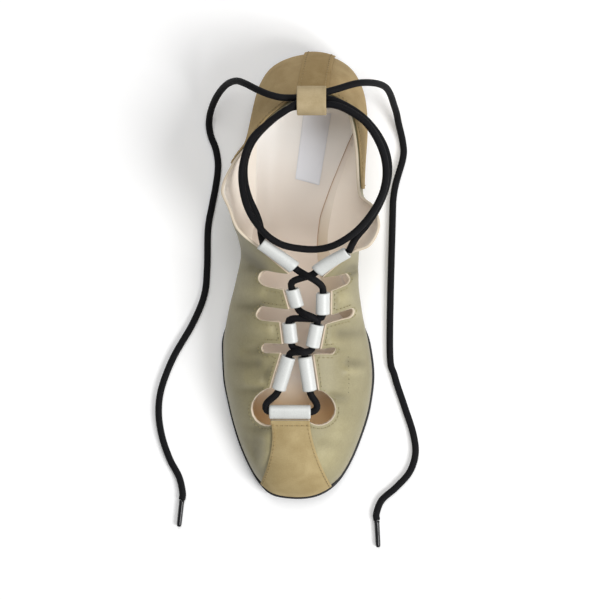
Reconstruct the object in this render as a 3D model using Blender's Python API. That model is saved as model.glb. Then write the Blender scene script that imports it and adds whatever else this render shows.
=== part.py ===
"""A lace-up flat for the right foot, as its maker puts it together.

Frame: +X to the inner (medial) side, +Y to the heel, -Y to the toe, +Z up.
The origin is on the floor, under the middle of the shoe's own box.
Lengths below are millimetres; MM turns them into metres.
"""

import math
from collections import namedtuple

import bmesh
import bpy
import numpy as np

MM = 0.001
GAP = 0.3

# Driving sizes of the last and the sole
HEEL_END_Y = 122.8
TOE_END_Y = -124.0
HEEL_END_X = 7.0
TOE_END_X = -1.5
SOLE_THICK = 4.6
HEEL_LIFT = 5.0
HEEL_BREAST_Y = 62.0
BREAST_SLOPE = 1.5
WAIST_RISE = 4.4
WAIST_FLAT = 20.0
TREAD_START_Y = 4.0
TREAD_END_Y = -88.0
TOE_SPRING = 6.0
SPRING_POWER = 1.6
HEEL_SEAT = 40.0
HEEL_RAMP = 20.0
FEATHER_INSET = 1.5
INSOLE_CLEARANCE = 1.0
INSOLE_THICK = 2.0
INSOLE_ROUND = 1.0
WALL = 1.6

# Overlays, straps and lace
OVERLAY_THICK = 0.8
OVERLAY_MARGIN = 1.6
STRIP_LIFT = 1.5
STRIP_THICK = 0.9
STRIP_HALF_WIDTH = 7.6
STRIP_START = 0.1
STRIP_END = 0.985
TUNNEL_HALF_WIDTH = 3.9
TUNNEL_HALF_HEIGHT = 3.2
TUNNEL_WALL = 0.8
TUNNEL_GAP = 0.7
TUNNEL_INSET = 0.8
LACE_DIAMETER = 3.8
LACE_STEP = 12.0
AGLET_DIAMETER = 3.0
AGLET_LENGTH = 15.0
MOUTH_GAP = 1.0
TURN_REACHES = (3.0, 3.5)
TURN_POINTS = 6

# Mesh density
SOLE_STATIONS = 40
LOWER_ROWS = 7
BAND_ROWS = 2
COLUMNS = {"toe": 3, "notch": 5, "tab": 3, "edge": 3}
TUNNEL_SIDES = 10
TUNNEL_STATIONS = 4
STRIP_COLUMNS = 4
STRIP_ROWS = 9
CORD_RESOLUTION = 2
CORD_SUBSTEPS = 12
CROSS_POINTS = 7

# The sole's outline, one row for each section from heel to toe
Section = namedtuple("Section", "y lateral_x medial_x")
OUTLINE = [
    Section(112.0, -18.6, 29.2),
    Section(98.0, -22.6, 33.6),
    Section(82.0, -22.4, 32.6),
    Section(62.0, -20.0, 26.6),
    Section(42.0, -18.6, 19.8),
    Section(20.0, -21.5, 16.0),
    Section(0.0, -29.0, 21.6),
    Section(-20.0, -39.6, 31.8),
    Section(-38.0, -45.0, 38.8),
    Section(-55.0, -44.4, 40.8),
    Section(-72.0, -41.4, 38.9),
    Section(-90.0, -36.6, 33.6),
    Section(-106.0, -29.8, 26.6),
    Section(-116.0, -23.4, 19.4),
    Section(-122.2, -15.6, 9.6),
]

# The upper's posts: each runs from the sole's edge at foot_y up to its point on the top edge.
# swell and rise set how the wall leaves the sole, the shoulder columns how it arrives at the
# edge, and after names what lies between a post and the next one to the heel.
Post = namedtuple(
    "Post",
    "name foot_y top_x top_y top_z swell rise shoulder_x shoulder_y shoulder_z after",
)
TOE_POST = Post("toe", TOE_END_Y, -5.0, -78.0, 40.0, 0.6, 13.0, 0.6, -20.0, -4.0, "toe")
BACK_POST = Post("back", HEEL_END_Y, 7.5, 103.2, 55.0, 4.6, 14.0, 0.0, 9.0, -16.0, "edge")
LATERAL_POSTS = [
    Post("toe_corner", -116.0, -15.6, -78.0, 39.5, 0.8, 13.0, 4.5, -16.0, -4.0, "notch"),
    Post("tab_1_low", -70.0, -15.8, -60.3, 41.5, 0.6, 18.0, -15.0, -0.5, -2.5, "tab"),
    Post("tab_1_high", -46.0, -9.8, -41.1, 45.5, 0.6, 20.0, -18.0, 1.5, -2.5, "notch"),
    Post("tab_2_low", -36.0, -8.7, -36.0, 47.0, 1.4, 20.0, -18.0, -0.5, -2.5, "tab"),
    Post("tab_2_high", -24.0, -10.0, -24.2, 49.5, 7.0, 20.0, -17.0, 3.2, -2.5, "notch"),
    Post("tab_3_low", -15.0, -5.0, -17.0, 51.0, 12.5, 18.0, -19.0, 0.6, -2.5, "tab"),
    Post("tab_3_high", -3.0, -8.0, -6.4, 53.5, 18.5, 16.0, -18.0, 2.5, -3.0, "notch"),
    Post("tab_4_low", 7.0, -4.8, 2.3, 55.5, 22.0, 14.0, -19.0, 1.0, -4.0, "tab"),
    Post("tab_4_high", 21.0, -20.6, 15.4, 58.0, 22.5, 12.0, -14.0, 2.0, -9.0, "edge"),
    Post("wing_front", 33.0, -33.5, 27.0, 60.0, 18.0, 11.0, -5.0, 0.6, -16.0, "edge"),
    Post("wing_edge", 41.0, -37.9, 37.9, 59.0, 18.0, 10.5, 0.0, 0.4, -18.0, "edge"),
    Post("wing_tip", 49.0, -41.7, 47.0, 57.0, 17.0, 10.0, 4.0, 0.3, -20.0, "edge"),
    Post("wing_back", 63.0, -36.2, 62.0, 50.0, 13.0, 11.0, 2.0, 0.2, -17.0, "edge"),
    Post("collar_dip", 77.0, -26.8, 76.0, 46.5, 10.0, 12.0, -3.0, -0.3, -14.0, "edge"),
    Post("heel_side", 95.0, -17.2, 89.5, 49.0, 8.0, 13.0, -7.0, 0.0, -14.0, "edge"),
    Post("heel_quarter", 113.0, -6.3, 99.0, 53.0, 5.6, 13.0, -7.5, 5.0, -15.0, "edge"),
]
MEDIAL_POSTS = [
    Post("toe_corner", -117.5, 5.6, -78.0, 39.5, 0.8, 13.0, 0.5, -16.0, -4.0, "notch"),
    Post("tab_1_low", -69.0, 10.6, -61.4, 41.5, 0.6, 18.0, 13.0, -1.0, -2.5, "tab"),
    Post("tab_1_high", -45.5, 7.8, -41.7, 45.5, 0.8, 20.0, 15.8, 2.0, -2.5, "notch"),
    Post("tab_2_low", -38.0, 11.9, -38.9, 47.0, 2.4, 20.0, 12.7, 1.0, -2.5, "tab"),
    Post("tab_2_high", -23.0, 14.7, -25.4, 49.5, 9.0, 20.0, 11.5, 6.0, -3.0, "notch"),
    Post("tab_3_low", -17.0, 17.8, -20.0, 51.0, 12.0, 18.0, 11.5, 1.0, -3.0, "tab"),
    Post("tab_3_high", -3.0, 18.0, -7.2, 53.5, 20.5, 16.0, 13.0, 6.5, -4.0, "notch"),
    Post("tab_4_low", 2.5, 13.0, 0.4, 55.5, 24.0, 14.0, 18.0, 0.0, -4.0, "tab"),
    Post("tab_4_high", 16.0, 28.8, 13.2, 58.0, 24.0, 11.0, 5.0, 0.6, -12.0, "edge"),
    Post("wing_front", 24.0, 38.6, 16.9, 59.0, 21.0, 11.0, -4.0, 0.0, -18.0, "edge"),
    Post("wing_tip", 33.0, 44.4, 28.6, 57.0, 18.0, 11.0, -4.0, 0.5, -20.0, "edge"),
    Post("wing_back", 42.0, 40.8, 39.2, 52.0, 16.0, 11.0, -2.0, 0.3, -17.0, "edge"),
    Post("collar_dip", 50.0, 33.8, 45.4, 45.5, 14.0, 12.0, 2.4, -0.6, -14.0, "edge"),
    Post("collar", 74.0, 31.8, 71.0, 45.5, 9.0, 13.0, 4.8, -1.5, -14.0, "edge"),
    Post("heel_side", 95.0, 28.2, 90.0, 50.0, 6.5, 13.0, 7.0, -0.2, -14.0, "edge"),
    Post("heel_quarter", 113.0, 19.8, 99.4, 53.5, 5.2, 13.0, 7.5, 5.0, -15.0, "edge"),
]

# Slits between the tabs: how deep their two sides are from the top edge, the low one nearer the toe,
# and how much deeper the end sweeps. A slit has no lean: its end is round. The keyholes beside the
# toe tunnel lean their deepest place away from the toe.
Notch = namedtuple("Notch", "low_depth high_depth sweep lean")
LATERAL_NOTCHES = {
    "toe_corner": Notch(1.6, 1.6, 13.8, 1.8),
    "tab_1_high": Notch(8.2, 9.3, 3.5, None),
    "tab_2_high": Notch(10.3, 14.9, 5.0, None),
    "tab_3_high": Notch(10.4, 13.0, 6.8, None),
}
MEDIAL_NOTCHES = {
    "toe_corner": Notch(1.5, 1.5, 11.7, 1.75),
    "tab_1_high": Notch(10.2, 6.9, 2.7, None),
    "tab_2_high": Notch(16.6, 15.0, 4.8, None),
    "tab_3_high": Notch(11.0, 15.0, 3.6, None),
}
EDGE_BAND = 12.0

# The heel tab's loop beyond the heel's top edge: forward of it and above it
LoopPoint = namedtuple("LoopPoint", "forward up")
HEEL_LOOP = [
    LoopPoint(-2.8, 2.6),
    LoopPoint(-2.8, 6.8),
    LoopPoint(0.2, 10.0),
    LoopPoint(6.0, 10.8),
    LoopPoint(11.5, 10.2),
    LoopPoint(14.8, 7.2),
    LoopPoint(15.4, 3.0),
    LoopPoint(13.4, -0.8),
    LoopPoint(8.6, -2.0),
    LoopPoint(4.2, -3.2),
]

# The lace's crosses: each has a gap to the tunnels' mouths, how far it runs on straight out of
# them, and how much each of its strands arches
Cross = namedtuple("Cross", "number mouth_gap reach lateral_lift medial_lift")
CROSSES = [
    Cross(1, 1.0, 4.2, 3.4, 1.0),
    Cross(2, 1.0, 4.2, 1.0, 3.4),
    Cross(3, 2.0, 4.6, 0.6, 3.0),
]

# The lace's turns beside the toe tunnel: how far each swings out of the tunnel's mouth, and how far
# it has come round to the tabs by then
Turn = namedtuple("Turn", "out round")
TURNS = {"lateral": Turn(2.6, 3.0), "medial": Turn(4.0, 3.0)}
ARC_REACH = 0.55

# Routes of the two lace halves once they leave the top tunnels, chosen by hand
WRAP_ROUTE = [
    (-19.8, 23.2, 58.2),
    (-20.6, 29.0, 57.2),
    (-23.0, 35.6, 56.0),
    (-26.8, 44.0, 54.8),
    (-29.0, 53.6, 54.0),
    (-28.6, 63.8, 53.4),
    (-24.4, 74.2, 53.8),
    (-15.4, 84.0, 55.4),
    (-4.0, 91.8, 57.6),
    (7.5, 92.6, 58.0),
    (18.4, 93.4, 59.8),
    (28.0, 89.8, 60.8),
    (37.4, 82.8, 60.4),
    (44.4, 71.4, 58.8),
    (47.4, 59.0, 57.8),
    (45.8, 46.6, 59.4),
    (40.0, 35.2, 62.4),
    (31.6, 25.4, 64.8),
    (21.4, 18.6, 63.8),
    (11.8, 15.8, 62.2),
    (1.4, 16.0, 62.8),
    (-9.4, 18.6, 64.8),
    (-18.4, 25.2, 66.0),
    (-26.2, 36.4, 63.2),
    (-29.8, 49.0, 60.4),
    (-29.8, 61.0, 58.6),
    (-25.4, 74.2, 58.8),
    (-16.4, 83.2, 60.0),
    (-7.4, 89.6, 61.6),
    (2.0, 95.2, 62.2),
    (12.0, 99.0, 62.2),
    (20.6, 101.6, 61.6),
    (34.6, 105.4, 55.6),
    (46.8, 103.8, 37.2),
    (51.8, 93.4, 14.4),
    (54.0, 84.0, 5.4),
    (56.2, 74.0, 2.1),
    (56.2, 65.6, 2.1),
    (51.4, 47.4, 2.1),
    (50.3, 26.2, 2.1),
    (49.0, -40.0, 2.1),
    (51.7, -55.5, 2.1),
    (57.0, -71.8, 2.1),
    (61.9, -87.0, 2.1),
    (63.3, -98.6, 2.1),
    (60.0, -109.0, 2.1),
    (52.4, -117.6, 2.1),
    (44.6, -124.6, 2.1),
    (41.6, -132.0, 2.1),
]
WRAP_TIP = (42.6, -151.0, 2.1)
SIDE_ROUTE = [
    (31.2, 21.6, 59.2),
    (36.8, 28.4, 58.6),
    (42.8, 37.6, 57.0),
    (47.2, 48.0, 54.4),
    (49.0, 58.6, 53.0),
    (47.4, 68.8, 52.8),
    (42.8, 78.0, 53.4),
    (36.2, 85.8, 54.4),
    (28.4, 91.6, 55.2),
    (18.4, 96.2, 56.2),
    (7.5, 97.2, 57.8),
    (-2.6, 97.2, 57.8),
    (-9.0, 97.4, 58.8),
    (-15.6, 99.0, 58.8),
    (-22.4, 101.9, 56.0),
    (-28.8, 105.2, 50.4),
    (-34.4, 107.0, 42.6),
    (-40.4, 105.2, 32.0),
    (-46.2, 99.4, 20.0),
    (-50.2, 91.8, 9.6),
    (-51.6, 84.6, 3.6),
    (-50.6, 78.0, 2.1),
    (-48.0, 71.2, 2.1),
    (-46.7, 63.5, 2.1),
    (-47.0, 56.4, 2.1),
    (-48.3, 48.2, 2.1),
    (-50.0, 39.6, 2.1),
    (-52.3, 26.2, 2.1),
    (-52.8, 5.0, 2.1),
    (-54.4, -10.4, 2.1),
    (-61.0, -26.6, 2.1),
    (-71.6, -45.0, 2.1),
    (-78.3, -62.2, 2.1),
    (-80.0, -75.6, 2.1),
    (-78.2, -89.1, 2.1),
    (-73.8, -102.0, 2.1),
    (-68.6, -112.0, 2.1),
    (-66.6, -121.0, 2.1),
]
SIDE_TIP = (-69.0, -142.4, 2.1)

COLOURS = {
    "rubber": ((0.012, 0.012, 0.014), 0.55),
    "nude_leather": ((0.72, 0.60, 0.52), 0.5),
    "olive_satin": ((0.33, 0.30, 0.17), 0.5),
    "tan_suede": ((0.40, 0.30, 0.17), 0.85),
    "white_leather": ((0.82, 0.81, 0.78), 0.45),
    "black_cord": ((0.008, 0.008, 0.010), 0.75),
    "black_plastic": ((0.010, 0.010, 0.012), 0.3),
}


def pchip(knots, values, at, period=None):
    """Cubic interpolation that never overshoots its rows. With a period the rows close a ring."""
    x = np.asarray(knots, float)
    y = np.asarray(values, float)
    if period:
        x = np.concatenate([[x[-1] - period], x, [x[0] + period, x[1] + period]])
        y = np.concatenate([[y[-1]], y, [y[0], y[1]]])
    step = np.diff(x)
    rate = np.diff(y) / step
    slope = np.zeros_like(y)
    slope[0] = rate[0]
    slope[-1] = rate[-1]
    for k in range(1, len(y) - 1):
        if rate[k - 1] * rate[k] > 0:
            before = 2 * step[k] + step[k - 1]
            behind = step[k] + 2 * step[k - 1]
            slope[k] = (before + behind) / (before / rate[k - 1] + behind / rate[k])
    at = np.asarray(at, float)
    i = np.clip(np.searchsorted(x, at, side="right") - 1, 0, len(step) - 1)
    u = (at - x[i]) / step[i]
    start = y[i] * (1 + 2 * u) + slope[i] * step[i] * u
    end = y[i + 1] * (3 - 2 * u) + slope[i + 1] * step[i] * (u - 1)
    return start * (1 - u) ** 2 + end * u**2


# The sole's outline and heights

HALF_LENGTH = (HEEL_END_Y - TOE_END_Y) / 2
MIDDLE_Y = (HEEL_END_Y + TOE_END_Y) / 2


def turn_of(y):
    """The angle along the outline's half, from 0 at the heel's end to pi at the toe's."""
    return math.acos(max(-1.0, min(1.0, (y - MIDDLE_Y) / HALF_LENGTH)))


OUTLINE_TURNS = [0.0] + [turn_of(row.y) for row in OUTLINE] + [math.pi]
LATERAL_X = [HEEL_END_X] + [row.lateral_x for row in OUTLINE] + [TOE_END_X]
MEDIAL_X = [HEEL_END_X] + [row.medial_x for row in OUTLINE] + [TOE_END_X]


def outline(way):
    """Plan point at way: 0 at the toe, pi at the heel by the outer side, 2 pi at the toe again."""
    way = way % (2 * math.pi)
    turn = abs(math.pi - way)
    table = LATERAL_X if way < math.pi else MEDIAL_X
    x = float(pchip(OUTLINE_TURNS, table, turn))
    return np.array([x, MIDDLE_Y + HALF_LENGTH * math.cos(turn)])


def outward(way):
    """Unit plan vector that points out of the sole at way."""
    step = 0.02
    along = outline(way + step) - outline(way - step)
    normal = np.array([-along[1], along[0]])
    return normal / np.linalg.norm(normal)


def ease(value, start, end):
    share = np.clip((value - start) / (end - start), 0.0, 1.0)
    return share * share * (3 - 2 * share)


def sole_bottom(y):
    """Height of the sole's underside: a heel block, a raised waist, a flat tread, a toe spring."""
    if y > HEEL_BREAST_Y:
        return 0.0
    into_waist = (HEEL_BREAST_Y - y) / BREAST_SLOPE
    waist = WAIST_RISE * (1 - ease(HEEL_BREAST_Y - y, WAIST_FLAT, HEEL_BREAST_Y - TREAD_START_Y))
    spring = TOE_SPRING * max(0.0, (TREAD_END_Y - y) / (TREAD_END_Y - TOE_END_Y)) ** SPRING_POWER
    return min(1.0, into_waist) * waist + spring


def sole_top(y):
    """Height of the face that the upper and the insole are fixed to."""
    heel = HEEL_LIFT * (1 - ease(HEEL_END_Y - y, HEEL_SEAT, HEEL_END_Y - TREAD_START_Y + HEEL_RAMP))
    spring = TOE_SPRING * max(0.0, (TREAD_END_Y - y) / (TREAD_END_Y - TOE_END_Y)) ** SPRING_POWER
    return SOLE_THICK + heel + spring


# The upper's surface

RING = [TOE_POST] + LATERAL_POSTS + [BACK_POST] + MEDIAL_POSTS[::-1]
BACK_AT = 1 + len(LATERAL_POSTS)
RING_SIZE = len(RING)


def way_of(index):
    """Outline angle of the foot of post number index."""
    turn = turn_of(RING[index].foot_y)
    return math.pi - turn if index <= BACK_AT else math.pi + turn


RING_WAYS = [way_of(index) for index in range(RING_SIZE)]


def post_spacing(index):
    """Mean distance from post index to the next, at the foot and at the top."""
    one, other = RING[index], RING[(index + 1) % RING_SIZE]
    feet = outline(RING_WAYS[index]) - outline(RING_WAYS[(index + 1) % RING_SIZE])
    tops = [one.top_x - other.top_x, one.top_y - other.top_y, one.top_z - other.top_z]
    return (np.linalg.norm(feet) + np.linalg.norm(tops)) / 2


SPACING = [post_spacing(index) for index in range(RING_SIZE)]
KNOTS = [float(k) for k in np.concatenate([[0.0], np.cumsum(SPACING)])]
RING_LENGTH = KNOTS.pop()


def knot(at):
    """Distance round the ring at position at: whole numbers are posts."""
    index = int(math.floor(at)) % RING_SIZE
    return KNOTS[index] + (at - math.floor(at)) * SPACING[index]


def ring_value(column, at):
    values = [getattr(post, column) for post in RING]
    return float(pchip(KNOTS, values, knot(at), RING_LENGTH))


def foot_way(at):
    """Outline angle of the foot at ring position at."""
    knots = [KNOTS[-1] - RING_LENGTH] + KNOTS + [RING_LENGTH, RING_LENGTH + KNOTS[1]]
    turns = [RING_WAYS[-1] - 2 * math.pi] + RING_WAYS
    turns += [2 * math.pi, 2 * math.pi + RING_WAYS[1]]
    return float(pchip(knots, turns, knot(at)))


def position_over(way):
    """Ring position whose foot stands at way on the outline."""
    low, high = 0.0, RING_SIZE - 1e-9
    for _ in range(40):
        middle = (low + high) / 2
        if foot_way(middle) < way:
            low = middle
        else:
            high = middle
    return (low + high) / 2


def top_point(at):
    """The top edge at ring position at: straight along a tab or the toe, curved elsewhere."""
    index = int(math.floor(at)) % RING_SIZE
    columns = ("top_x", "top_y", "top_z")
    if kind_of(index) not in ("tab", "toe"):
        return np.array([ring_value(name, at) for name in columns])
    here, there = RING[index], RING[(index + 1) % RING_SIZE]
    part = at - math.floor(at)
    start, end = (np.array([getattr(post, name) for name in columns]) for post in (here, there))
    return start * (1 - part) + end * part


def post_curve(at):
    """Four control points of the wall's profile at ring position at."""
    way = foot_way(at)
    edge = outline(way)
    out = outward(way)
    out3 = np.array([out[0], out[1], 0.0])
    up = np.array([0.0, 0.0, 1.0])
    foot_plan = edge - out * FEATHER_INSET
    foot = np.array([foot_plan[0], foot_plan[1], sole_top(edge[1]) + GAP])
    top = top_point(at)
    lower = foot + out3 * ring_value("swell", at) + up * ring_value("rise", at)
    shoulder = [ring_value(name, at) for name in ("shoulder_x", "shoulder_y", "shoulder_z")]
    upper = top + np.array(shoulder)
    return foot, lower, upper, top


CURVE_SAMPLES = np.linspace(0.0, 1.0, 41)


def bezier(points, u):
    a, b, c, d = points
    u = np.asarray(u, float)[..., None]
    v = 1 - u
    return a * v**3 + 3 * b * v * v * u + 3 * c * v * u * u + d * u**3


class Column:
    """One profile of the wall, walked by distance from the sole's edge."""

    def __init__(self, at):
        self.at = at
        self.points = post_curve(at)
        line = bezier(self.points, CURVE_SAMPLES)
        steps = np.linalg.norm(np.diff(line, axis=0), axis=1)
        self.distance = np.concatenate([[0.0], np.cumsum(steps)])
        self.length = float(self.distance[-1])

    def point(self, share):
        u = np.interp(share * self.length, self.distance, CURVE_SAMPLES)
        return bezier(self.points, u)


def wall_normal(at, share):
    step = 0.04
    small = 0.02
    low, high = max(0.0, share - small), min(1.0, share + small)
    column = Column(at)
    up = column.point(high) - column.point(low)
    along = Column(at + step).point(share) - Column(at - step).point(share)
    normal = np.cross(up, along)
    return normal / np.linalg.norm(normal)


def wall_point(at, share, lift=0.0):
    point = Column(at).point(share)
    return point + wall_normal(at, share) * lift if lift else point


def inside_point(at, height, clearance):
    """The point at this height, clearance inside the wall's lining."""
    low, high = 0.0, 0.5
    for _ in range(24):
        middle = (low + high) / 2
        if wall_point(at, middle, -WALL - clearance)[2] < height:
            low = middle
        else:
            high = middle
    return wall_point(at, low, -WALL - clearance)


def notch_of(index):
    """The slit between post index and the next round the ring, or None."""
    if index < BACK_AT:
        return LATERAL_NOTCHES.get(RING[index].name)
    return MEDIAL_NOTCHES.get(RING[(index + 1) % RING_SIZE].name)


def kind_of(index):
    if index < BACK_AT:
        return RING[index].after
    return RING[(index + 1) % RING_SIZE].after


def from_toe(index, part):
    """A share of the way from post index to the next, counted from the toe on both sides."""
    return part if index < BACK_AT else 1 - part


def side_depth(index):
    """How far below the top edge the band of tabs begins at post index."""
    for here, part in ((index, 0.0), (index - 1, 1.0)):
        notch = notch_of(here % RING_SIZE)
        if notch:
            return notch.low_depth + (notch.high_depth - notch.low_depth) * from_toe(here, part)
    return EDGE_BAND


def root_share(at, column):
    """Share of the wall's length below the band of tabs, or below the end of a slit."""
    index = int(math.floor(at + 1e-9)) % RING_SIZE
    part = at - math.floor(at + 1e-9)
    near = side_depth(index)
    far = side_depth((index + 1) % RING_SIZE)
    depth = near + (far - near) * part
    notch = notch_of(index)
    if notch and notch.lean:
        depth += notch.sweep * math.sin(math.pi * from_toe(index, part) ** notch.lean)
    elif notch:
        depth += notch.sweep * (1 - (2 * part - 1) ** 2)
    return 1 - depth / column.length


def ring_positions():
    """Ring position of every column of the wall, with the number of the post before it."""
    for index in range(RING_SIZE):
        kind = kind_of(index)
        count = COLUMNS[kind]
        for k in range(count):
            part = k / count
            if kind == "notch":
                part = (1 - math.cos(math.pi * part)) / 2
            yield index + part, index, kind


def column_shares(at, column):
    root = root_share(at, column)
    lower = [root * k / LOWER_ROWS for k in range(LOWER_ROWS + 1)]
    band = [root + (1 - root) * k / BAND_ROWS for k in range(1, BAND_ROWS + 1)]
    return lower + band


# Making objects

MATERIALS = {}


def material(name):
    if name not in MATERIALS:
        colour, roughness = COLOURS[name]
        made = bpy.data.materials.new(name)
        made.use_nodes = True
        shader = made.node_tree.nodes["Principled BSDF"]
        shader.inputs["Base Color"].default_value = (*colour, 1.0)
        shader.inputs["Roughness"].default_value = roughness
        shader.inputs["Metallic"].default_value = 0.0
        MATERIALS[name] = made
    return MATERIALS[name]


def add_object(name, data, finish):
    made = bpy.data.objects.new(name, data)
    made.data.materials.append(material(finish))
    bpy.context.scene.collection.objects.link(made)
    return made


def mesh_object(name, points, faces, finish):
    """A mesh from millimetre points. Repeated points are merged and faces made to agree."""
    mesh = bpy.data.meshes.new(name)
    mesh.from_pydata([tuple(np.asarray(p) * MM) for p in points], [], faces)
    work = bmesh.new()
    work.from_mesh(mesh)
    bmesh.ops.remove_doubles(work, verts=work.verts, dist=1e-7)
    bmesh.ops.dissolve_degenerate(work, edges=work.edges, dist=1e-8)
    bmesh.ops.recalc_face_normals(work, faces=work.faces)
    work.to_mesh(mesh)
    work.free()
    mesh.shade_smooth()
    mesh.set_sharp_from_angle(angle=math.radians(40))
    return add_object(name, mesh, finish)


def sheet_object(name, points, faces, thickness, finish):
    """An open sheet, its faces outwards, thickened inwards."""
    mesh = bpy.data.meshes.new(name)
    mesh.from_pydata([tuple(np.asarray(p) * MM) for p in points], [], faces)
    mesh.shade_smooth()
    made = add_object(name, mesh, finish)
    wall = made.modifiers.new("wall", "SOLIDIFY")
    wall.thickness = thickness * MM
    wall.offset = -1.0
    wall.use_even_offset = True
    wall.use_quality_normals = True
    return made


# Outsole and insole

EdgeRow = namedtuple("EdgeRow", "inset height")
SOLE_EDGE = [
    EdgeRow(1.4, 0.0),
    EdgeRow(0.3, 0.2),
    EdgeRow(0.0, 0.45),
    EdgeRow(0.3, 0.9),
    EdgeRow(0.9, 1.0),
]


def stations():
    """Turns from heel to toe, with two at the heel's breast."""
    turns = [math.pi * k / SOLE_STATIONS for k in range(SOLE_STATIONS + 1)]
    turns += [turn_of(HEEL_BREAST_Y), turn_of(HEEL_BREAST_Y - BREAST_SLOPE)]
    return sorted(turns)


def plate(name, rows, finish):
    """A plate from rows of the outline's ring, bottom first. Each row is a function of way."""
    points, faces, rings = [], [], []
    turns = stations()
    for row in rows:
        ring = []
        for way in [math.pi - t for t in turns] + [math.pi + t for t in turns]:
            ring.append(len(points))
            points.append(row(way))
        rings.append((ring[: len(turns)], ring[len(turns) :]))
    for (low_a, low_b), (high_a, high_b) in zip(rings, rings[1:]):
        for k in range(len(turns) - 1):
            faces.append((low_a[k], low_a[k + 1], high_a[k + 1], high_a[k]))
            faces.append((low_b[k + 1], low_b[k], high_b[k], high_b[k + 1]))
    for side_a, side_b in (rings[0], rings[-1]):
        for k in range(len(turns) - 1):
            faces.append((side_a[k], side_b[k], side_b[k + 1], side_a[k + 1]))
    return mesh_object(name, points, faces, finish)


def sole_row(row):
    def place(way):
        edge = outline(way)
        plan = edge - outward(way) * row.inset
        bottom, top = sole_bottom(edge[1]), sole_top(edge[1])
        return (plan[0], plan[1], bottom + row.height * (top - bottom))

    return place


def insole_underside(way):
    edge = outline(way)
    inner = inside_point(position_over(way), 0.0, INSOLE_CLEARANCE)
    return (inner[0], inner[1], sole_top(edge[1]) + GAP)


def insole_side(way):
    edge = outline(way)
    height = sole_top(edge[1]) + GAP + INSOLE_THICK
    return tuple(inside_point(position_over(way), height, INSOLE_CLEARANCE))


def insole_face(way):
    side = np.array(insole_side(way))
    inward = outward(way) * INSOLE_ROUND
    return (side[0] - inward[0], side[1] - inward[1], side[2] + INSOLE_ROUND / 3)


# Upper and the overlays cut from its own surface


def upper():
    points, faces, columns = [], [], []
    for at, _, kind in ring_positions():
        column = Column(at)
        shares = column_shares(at, column)
        open_top = kind == "notch" and at > math.floor(at) + 1e-9
        if open_top:
            shares = shares[: LOWER_ROWS + 1]
        columns.append((len(points), len(shares), kind))
        points.extend(column.point(share) for share in shares)
    for k, (first, rows, kind) in enumerate(columns):
        second, next_rows, _ = columns[(k + 1) % len(columns)]
        shared = LOWER_ROWS if kind == "notch" else min(rows, next_rows) - 1
        for row in range(shared):
            faces.append((first + row, first + row + 1, second + row + 1, second + row))
    return sheet_object("upper", points, faces, WALL, "olive_satin")


def post_at(side, name):
    posts = LATERAL_POSTS if side == "lateral" else MEDIAL_POSTS
    names = [post.name for post in posts]
    place = 1 + names.index(name)
    return place if side == "lateral" else RING_SIZE - place


def overlay(name, start, end, thickness, lift, finish):
    """A panel laid on the upper from ring position start to end, on the upper's own columns."""
    span = (end - start) % RING_SIZE
    columns = [at for at, _, _ in ring_positions() if (at - start) % RING_SIZE <= span + 1e-9]
    columns.sort(key=lambda at: (at - start) % RING_SIZE)
    points, faces = [], []
    rows = LOWER_ROWS + BAND_ROWS + 1
    for at in columns:
        column = Column(at)
        trim = OVERLAY_MARGIN / column.length
        for share in column_shares(at, column):
            share = min(max(share, trim), 1 - trim)
            points.append(wall_point(at, share, lift + thickness))
    for k in range(len(columns) - 1):
        for row in range(rows - 1):
            a, b = k * rows + row, (k + 1) * rows + row
            faces.append((a, a + 1, b + 1, b))
    return sheet_object(name, points, faces, thickness, finish)


def position_at_x(x, share):
    """Ring position near the heel where the wall at share has this x."""
    low, high = BACK_AT - 1.5, BACK_AT + 1.5
    for _ in range(40):
        middle = (low + high) / 2
        if Column(middle).point(share)[0] < x:
            low = middle
        else:
            high = middle
    return (low + high) / 2


def heel_strip():
    """The strip up the heel's back, turned over at the top into a loop for the lace."""
    lift = STRIP_LIFT + STRIP_THICK
    back = np.array([BACK_POST.top_x, BACK_POST.top_y, BACK_POST.top_z])
    points, faces = [], []
    rows = STRIP_ROWS + len(HEEL_LOOP)
    for k in range(STRIP_COLUMNS + 1):
        offset = STRIP_HALF_WIDTH * (2 * k / STRIP_COLUMNS - 1)
        for row in range(STRIP_ROWS):
            share = STRIP_START + (STRIP_END - STRIP_START) * row / (STRIP_ROWS - 1)
            at = position_at_x(back[0] + offset, share)
            points.append(wall_point(at, share, lift))
        for step in HEEL_LOOP:
            points.append(back + np.array([offset, -step.forward, step.up]))
    for k in range(STRIP_COLUMNS):
        for row in range(rows - 1):
            a, b = k * rows + row, (k + 1) * rows + row
            faces.append((a, a + 1, b + 1, b))
    return sheet_object("heel_strip_loop", points, faces, STRIP_THICK, "tan_suede")


# Lace tunnels on the tabs' edges


def tunnel_axis(start, end):
    """Centre line of the tunnel on the edge from ring position start to end, with its frame."""
    line = []
    edge = np.linalg.norm(wall_point(end, 1.0) - wall_point(start, 1.0))
    trim = (end - start) * TUNNEL_INSET / edge
    for at in np.linspace(start + trim, end - trim, TUNNEL_STATIONS):
        column = Column(at)
        beyond = column.point(1.0) - column.point(0.97)
        along = Column(at + trim).point(1.0) - Column(at - trim).point(1.0)
        along /= np.linalg.norm(along)
        normal = wall_normal(at, 1.0)
        across = np.cross(normal, along)
        across *= np.sign(np.dot(across, beyond)) / np.linalg.norm(across)
        normal = normal - along * np.dot(normal, along)
        normal /= np.linalg.norm(normal)
        centre = column.point(1.0) + across * (TUNNEL_HALF_WIDTH + TUNNEL_GAP) - normal * WALL / 2
        line.append((centre, across, normal))
    return line


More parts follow.
